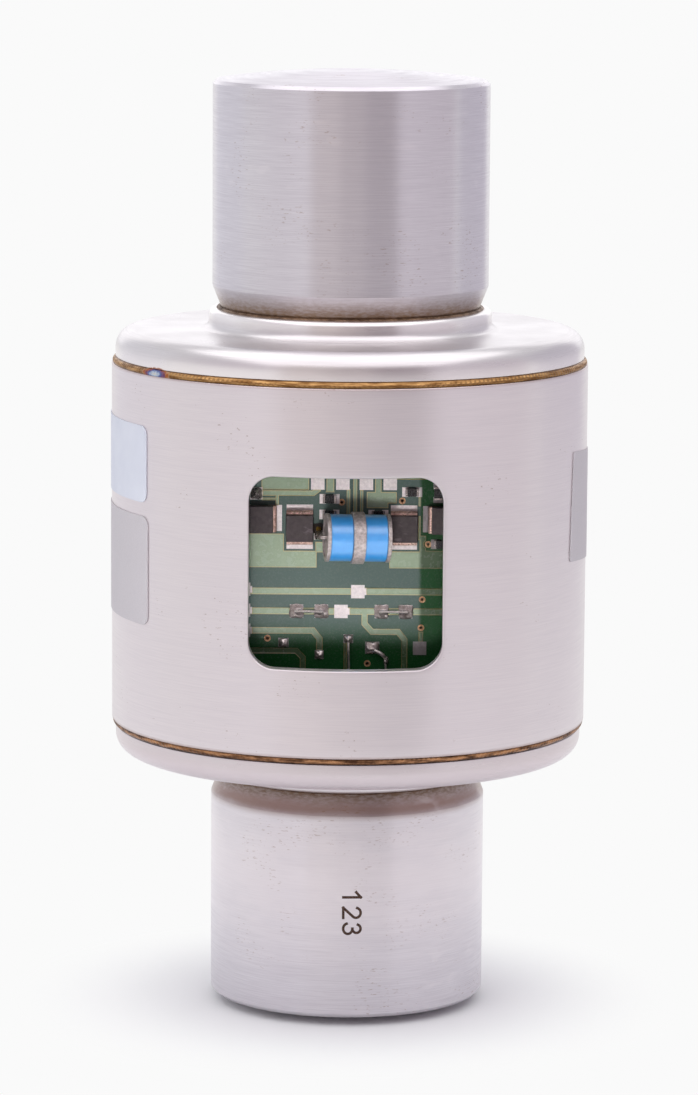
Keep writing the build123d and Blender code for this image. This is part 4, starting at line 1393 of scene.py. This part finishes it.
@dataclass
class CircuitBoard:
    """The board with its copper, its parts and what carries it."""

    edge_width: float = 0.11
    edge_drop: float = 0.05
    edge_smooth: float = 8.0
    facing: float = 0.9
    softened_nodes: tuple[tuple[str, str, float, Finish], ...] = (
        ("diode_bodies", "diode_cases", 0.12, DIODE_EPOXY),
        ("diode_terminals", "diode_strips", 0.06, TERMINAL_TIN),
        ("chip_bodies", "chip_blocks", 0.05, CHIP_GLAZE),
        ("chip_ends", "chip_caps", 0.06, SOLDER),
        ("arrester_sleeves", "ceramic_sleeves", 0.18, BLUE_CERAMIC),
        ("arrester_electrodes", "dipped_electrodes", 0.12, ELECTRODE_TIN),
        ("board_spacers", "hex_spacers", 0.15, SPACER_BRASS),
        ("board_screws", "slotted_screws", 0.2, SCREW_STEEL),
    )
    plain_nodes: tuple[tuple[str, Finish], ...] = (
        ("circuit_board", BOARD_MASK),
        ("board_pads", TIN_PLATE),
        ("via_eyelets", HOLE_COPPER),
        ("arrester_leads", SOLDER),
        ("strain_gauges", GAUGE_FILM),
        ("gauge_tabs", TERMINAL_TIN),
        ("gauge_leads", LEAD_SHEATH),
    )

    def copper(self) -> None:
        """Slope the copper's edges under the mask: a narrow band falls away all round."""
        mesh, bm = joined("board_tracks")
        front = [f for f in bm.faces if f.normal.y < -self.facing]
        front = bmesh.ops.triangulate(bm, faces=front, quad_method="BEAUTY", ngon_method="BEAUTY")["faces"]
        edges = {e for f in front for e in f.edges if any(g.normal.y > -self.facing for g in e.link_faces)}
        rim = {vert for edge in edges for vert in edge.verts}
        settings = {"thickness": self.edge_width * MM, "use_even_offset": True, "use_boundary": True}
        for face in bmesh.ops.inset_region(bm, faces=front, **settings)["faces"]:
            face.material_index = 1
        for vert in rim:
            vert.co.y += self.edge_drop * MM
        write_back(bm, mesh)
        index = np.zeros(len(mesh.polygons), np.int32)
        mesh.polygons.foreach_get("material_index", index)
        piece = dress("masked_copper", mesh, TRACK_MASK, self.edge_smooth)
        mesh.materials.append(TRACK_EDGE.material())
        mesh.polygons.foreach_set("material_index", index)
        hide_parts("board_tracks")

    def build(self) -> None:
        """Dress every node of the board."""
        self.copper()
        for node, name, width, finish in self.softened_nodes:
            softened(node, name, width, finish)
        for node, finish in self.plain_nodes:
            repaint(node, finish)


@dataclass
class StruckNumber:
    """A plain running number struck into the lower stub, read from the top down."""

    start: float = 22.1
    middle: float = 0.88
    tall: float = 2.75
    wide: float = 1.9
    gap: float = 0.7
    stroke: float = 0.42
    proud: float = 0.012
    sunk: float = 0.1
    radius: float = 22.0

    def strokes(self) -> list[Points]:
        """Draw the strokes from straight runs and parts of ellipses.

        Returns:
            Each stroke's points across and up, in units of a digit's size.
        """
        t = np.linspace(0, 1, 25)
        stem = np.stack([0.55 + 0 * t, t], -1)
        flag = np.stack([0.12 + 0.43 * t, 0.74 + 0.26 * t], -1)
        a = np.radians(165 - 215 * t)
        bowl = np.stack([0.5 + 0.42 * np.cos(a), 0.73 + 0.27 * np.sin(a)], -1)
        tail = np.stack([0.77 - 0.7 * t, 0.523 - 0.523 * t], -1)
        foot = np.stack([0.07 + 0.86 * t, 0 * t], -1)
        b = np.radians(160 - 250 * t)
        upper = np.stack([0.48 + 0.36 * np.cos(b), 0.765 + 0.235 * np.sin(b)], -1)
        c = np.radians(90 - 255 * t)
        lower = np.stack([0.48 + 0.44 * np.cos(c), 0.265 + 0.265 * np.sin(c)], -1)
        digits = [[stem, flag], [bowl, tail, foot], [upper, lower]]
        return [s + [i * (1 + self.gap / self.wide), 0] for i, digit in enumerate(digits) for s in digit]

    def build(self) -> None:
        """Carry a flat bar along each stroke, wrapped onto the stub.

        Its section is a rectangle square to the stroke's tangent, and the distance up the digit,
        divided by the stub's radius, is the azimuth.
        """
        parts = []
        for stroke in self.strokes():
            line = stroke * [self.wide, self.tall]
            along = np.gradient(line, axis=0)
            along /= np.linalg.norm(along, axis=1)[:, None]
            side = np.stack([-along[:, 1], along[:, 0]], -1) * self.stroke / 2
            line[0] -= along[0] * self.stroke / 2
            line[-1] += along[-1] * self.stroke / 2
            edges = np.stack([line - side, line + side, line + side, line - side], 1)
            lift = np.array([self.proud, self.proud, -self.sunk, -self.sunk])[None, :]
            angle = (self.middle - self.tall / 2 + edges[..., 1]) / self.radius
            rings = around(self.radius + lift, self.start - edges[..., 0], angle)
            ends = [np.repeat(r.mean(0)[None, None], 4, 1) for r in (rings[0], rings[-1])]
            parts.append(np.concatenate([ends[0], rings, ends[1]]))
        points, faces = gather(parts)
        piece = build("struck_number", points, faces, STRUCK_MARK)


@dataclass
class CableGland:
    """The gland at the back: boss, washer, body, seal and domed nut."""

    pieces: tuple[tuple[str, str, float, Finish], ...] = (
        ("gland_boss", "boss_ring", 0.2, BOSS_STEEL),
        ("gland_body", "hexagon_body", 0.35, NICKEL_BRASS),
        ("gland_nut", "domed_nut", 0.35, NICKEL_BRASS),
        ("gland_washer", "washer_ring", 0.15, SEAL_RUBBER),
        ("gland_seal", "seal_ring", 0.15, SEAL_RUBBER),
    )

    def build(self) -> None:
        """Dress every piece of the gland."""
        for node, name, width, finish in self.pieces:
            softened(node, name, width, finish)
        repaint("boss_weld", COLLAR_WELD)


@dataclass
class Studio:
    """Floor, backdrop, light and camera, in metres and degrees.

    The floor's glow begins and is full at the distances that stand beside each kind of ray.
    """

    aim: Triple = (0.000035, 0.0, 0.07355)
    distance: float = 0.784
    elevation: float = 8.7
    roll: float = 0.375
    lens: float = 160.44
    sensor: float = 36.0
    view_end: float = 60.0
    white: str = "#fafafa"
    floor_colour: str = "#fbfbfb"
    floor_half: float = 9.0
    glow_reach: tuple[tuple[str, Pair], ...] = (
        ("Is Camera Ray", (0.02, 0.054)),
        ("Is Glossy Ray", (0.03, 0.24)),
    )
    room_colour: str = "#d2cad2"
    back_colour: str = "#e6e5e9"
    fill_colour: str = "#f6f8ff"
    fill: float = 0.6
    cards: tuple[tuple[str, float, float, str], ...] = (
        ("left_front_card", -33.0, -9.0, "#c8bdbc"),
        ("front_card", -9.0, 11.0, "#b0a4a6"),
        ("right_front_card", 11.0, 38.5, "#978a91"),
        ("right_side_card", 38.5, 95.0, "#d6ced6"),
        ("left_flag", -150.0, -100.0, "#ececf2"),
        ("right_flag", 100.0, 150.0, "#d4d0da"),
    )
    card_reach: Triple = (0.5, 0.86, 0.86)
    card_height: Triple = (0.002, 0.002, 0.6)
    card_points: int = 25
    boxes: tuple[tuple[str, Triple, Pair, float, bool], ...] = (
        ("left_box", (-50.0, 24.0, 0.9), (0.5, 0.5), 0.4, False),
        ("top_box", (0.0, 75.0, 1.0), (2.0, 2.0), 11.3, True),
        ("back_box", (180.0, 20.0, 1.6), (3.0, 1.0), 4.4, True),
    )
    spot_place: Triple = (-4.0, -15.0, 0.22)
    spot_cone: float = 22.0
    spot_power: float = 0.92
    spot_blend: float = 0.6
    spot_radius: float = 0.022

    def camera(self) -> None:
        """Stand the camera where the photograph was taken."""
        data = bpy.data.cameras.new("camera")
        data.sensor_width = self.sensor
        data.lens = self.lens
        data.clip_end = self.view_end
        camera = bpy.data.objects.new("camera", data)
        bpy.context.scene.collection.objects.link(camera)
        lift = math.radians(self.elevation)
        back = Vector((0, -math.cos(lift), math.sin(lift)))
        camera.location = Vector(self.aim) + back * self.distance
        camera.rotation_mode = "QUATERNION"
        tilt = Quaternion((0, 0, 1), math.radians(self.roll))
        camera.rotation_quaternion = (-back).to_track_quat("-Z", "Y") @ tilt
        bpy.context.scene.camera = camera

    @staticmethod
    def paper(tree: Tree, colour: str, shown: str, share: Socket) -> None:
        """Make paper that shows some rays a plain colour of its own.

        Args:
            tree: The empty node tree it goes into.
            colour: The paper's colour.
            shown: The colour it shows those rays.
            share: How much of that colour shows.
        """
        lit = add(tree, "BsdfDiffuse", {"Color": linear(colour)})
        glow = add(tree, "Emission", {"Color": linear(shown), "Strength": 1.0})
        add(tree, "OutputMaterial", {}, {0: add(tree, "MixShader", {}, {0: share, 1: lit, 2: glow})})

    @staticmethod
    def sheet(name: str, points: Points, material: bpy.types.Material) -> Piece:
        """Set up a sheet of the studio from a grid of points in metres.

        Args:
            name: The sheet's name.
            points: Its points, row by row.
            material: Its material.

        Returns:
            The sheet.
        """
        mesh = bpy.data.meshes.new(name)
        mesh.from_pydata(points.reshape(-1, 3).tolist(), [], grid_faces(*points.shape[:2]).tolist())
        mesh.materials.append(material)
        sheet = bpy.data.objects.new(name, mesh)
        bpy.context.scene.collection.objects.link(sheet)
        return sheet

    def floor(self) -> None:
        """Lay a pale floor: lit near the cell, and plain white to the camera and gloss further off."""
        material = bpy.data.materials.new("pale_floor")
        tree = blank(material)
        place = add(tree, "TexCoord", {}, out="Object")
        reach = add(tree, "VectorMath", {"operation": "LENGTH"}, {0: place}, "Value")
        path = add(tree, "LightPath", {}).node.outputs
        links = {}
        for number, (ray, limits) in enumerate(self.glow_reach):
            far = add(tree, "MapRange", ramp(limits), {0: reach})
            links[number] = add(tree, "Math", TIMES, {0: far, 1: path[ray]})
        self.paper(tree, self.floor_colour, self.white, add(tree, "Math", LARGER, links))
        side = np.array([-self.floor_half, self.floor_half])
        x, y = np.meshgrid(side, side)
        self.sheet("floor", np.stack([x, y, 0 * x], -1), material)

    def card(self, name: str, first: float, last: float, colour: str) -> None:
        """Lay a card on the floor that stands up at its far end, unseen by the camera.

        Args:
            name: The card's name.
            first: Azimuth of one edge in degrees.
            last: Azimuth of the other.
            colour: The colour it shows to gloss.
        """
        material = bpy.data.materials.new(name + "_paper")
        tree = blank(material)
        self.paper(tree, colour, colour, add(tree, "LightPath", {}, out="Is Glossy Ray"))
        angle = np.radians(np.linspace(first, last, self.card_points))[None, :]
        reach, height = (np.array(v)[:, None] for v in (self.card_reach, self.card_height))
        self.sheet(name, around(reach, height, angle), material).visible_camera = False

    def world(self) -> None:
        """Surround the scene with even light.

        The camera sees it white, and gloss sees it white behind and the dimmer room in front.
        """
        world = bpy.data.worlds.new("studio")
        bpy.context.scene.world = world
        tree = blank(world)
        path = add(tree, "LightPath", {}).node.outputs
        seen = add(tree, "Math", LARGER, {0: path["Is Camera Ray"], 1: path["Is Glossy Ray"]})
        way = add(tree, "TexCoord", {}, out="Generated")
        depth = add(tree, "SeparateXYZ", {}, {0: way}, 1)
        behind = add(tree, "MapRange", ramp((-0.6, 0.3)), {0: depth})
        paint = Paint(tree, way, behind)
        paint.colour = paint.mottled(self.room_colour, self.back_colour)
        paint.lay(self.white, path["Is Camera Ray"])
        fill = add(tree, "Background", {"Color": linear(self.fill_colour), "Strength": self.fill})
        glow = add(tree, "Background", {"Strength": 1.0}, {"Color": paint.colour})
        add(tree, "OutputWorld", {}, {0: add(tree, "MixShader", {}, {0: seen, 1: fill, 2: glow})})

    @staticmethod
    def hang(data: bpy.types.Light, place: Triple, power: float, gloss: bool) -> None:
        """Hang a lamp so that it points at the cell's middle.

        Args:
            data: The lamp.
            place: Its azimuth and elevation in degrees, and its distance in metres.
            power: Its power in watts.
            gloss: Whether gloss shows it.
        """
        data.energy = power
        lamp = bpy.data.objects.new(data.name, data)
        lamp.visible_glossy = gloss
        bpy.context.scene.collection.objects.link(lamp)
        a, e = math.radians(place[0]), math.radians(place[1])
        away = Vector((math.sin(a) * math.cos(e), -math.cos(a) * math.cos(e), math.sin(e)))
        lamp.location = Vector((0, 0, MID * MM)) + away * place[2]
        lamp.rotation_mode = "QUATERNION"
        lamp.rotation_quaternion = (-away).to_track_quat("-Z", "Y")

    def lamps(self) -> None:
        """Hang the soft boxes, and a small low spot that stands for light off the floor."""
        spot = bpy.data.lights.new("low_spot", "SPOT")
        spot.spot_size = math.radians(self.spot_cone)
        spot.spot_blend = self.spot_blend
        spot.shadow_soft_size = self.spot_radius
        self.hang(spot, self.spot_place, self.spot_power, False)
        for name, place, size, power, gloss in self.boxes:
            box = bpy.data.lights.new(name, "AREA")
            box.shape = "RECTANGLE"
            box.size, box.size_y = size
            self.hang(box, place, power, gloss)

    def build(self) -> None:
        """Set up the whole studio."""
        bpy.context.scene.view_settings.view_transform = "Standard"
        self.floor()
        self.world()
        for card in self.cards:
            self.card(*card)
        self.lamps()
        self.camera()


STICKERS = (
    Sticker("white_sticker", "upper_label", "white_film", -56.1, 40.0, 14.6, 12.1, 0.0, WHITE_FILM),
    Sticker("left_sticker", "lower_label", "silver_film", -55.5, 44.0, -2.2, 17.2, 0.0, SILVER_FILM),
    Sticker("right_sticker", "side_label", "silver_film", 66.8, 44.0, 7.5, 17.4, -4.0, SILVER_FILM, 0.5),
)


def main() -> None:
    """Build the cell's pieces in order, and then the studio."""
    logging.basicConfig(level=logging.INFO, format="%(message)s")
    LoadColumn().build()
    Can().build()
    CircuitBoard().build()
    HandWork().build()
    StruckNumber().build()
    CableGland().build()
    for sticker in STICKERS:
        sticker.build()
    Studio().build()


if __name__ == "__main__":
    main()
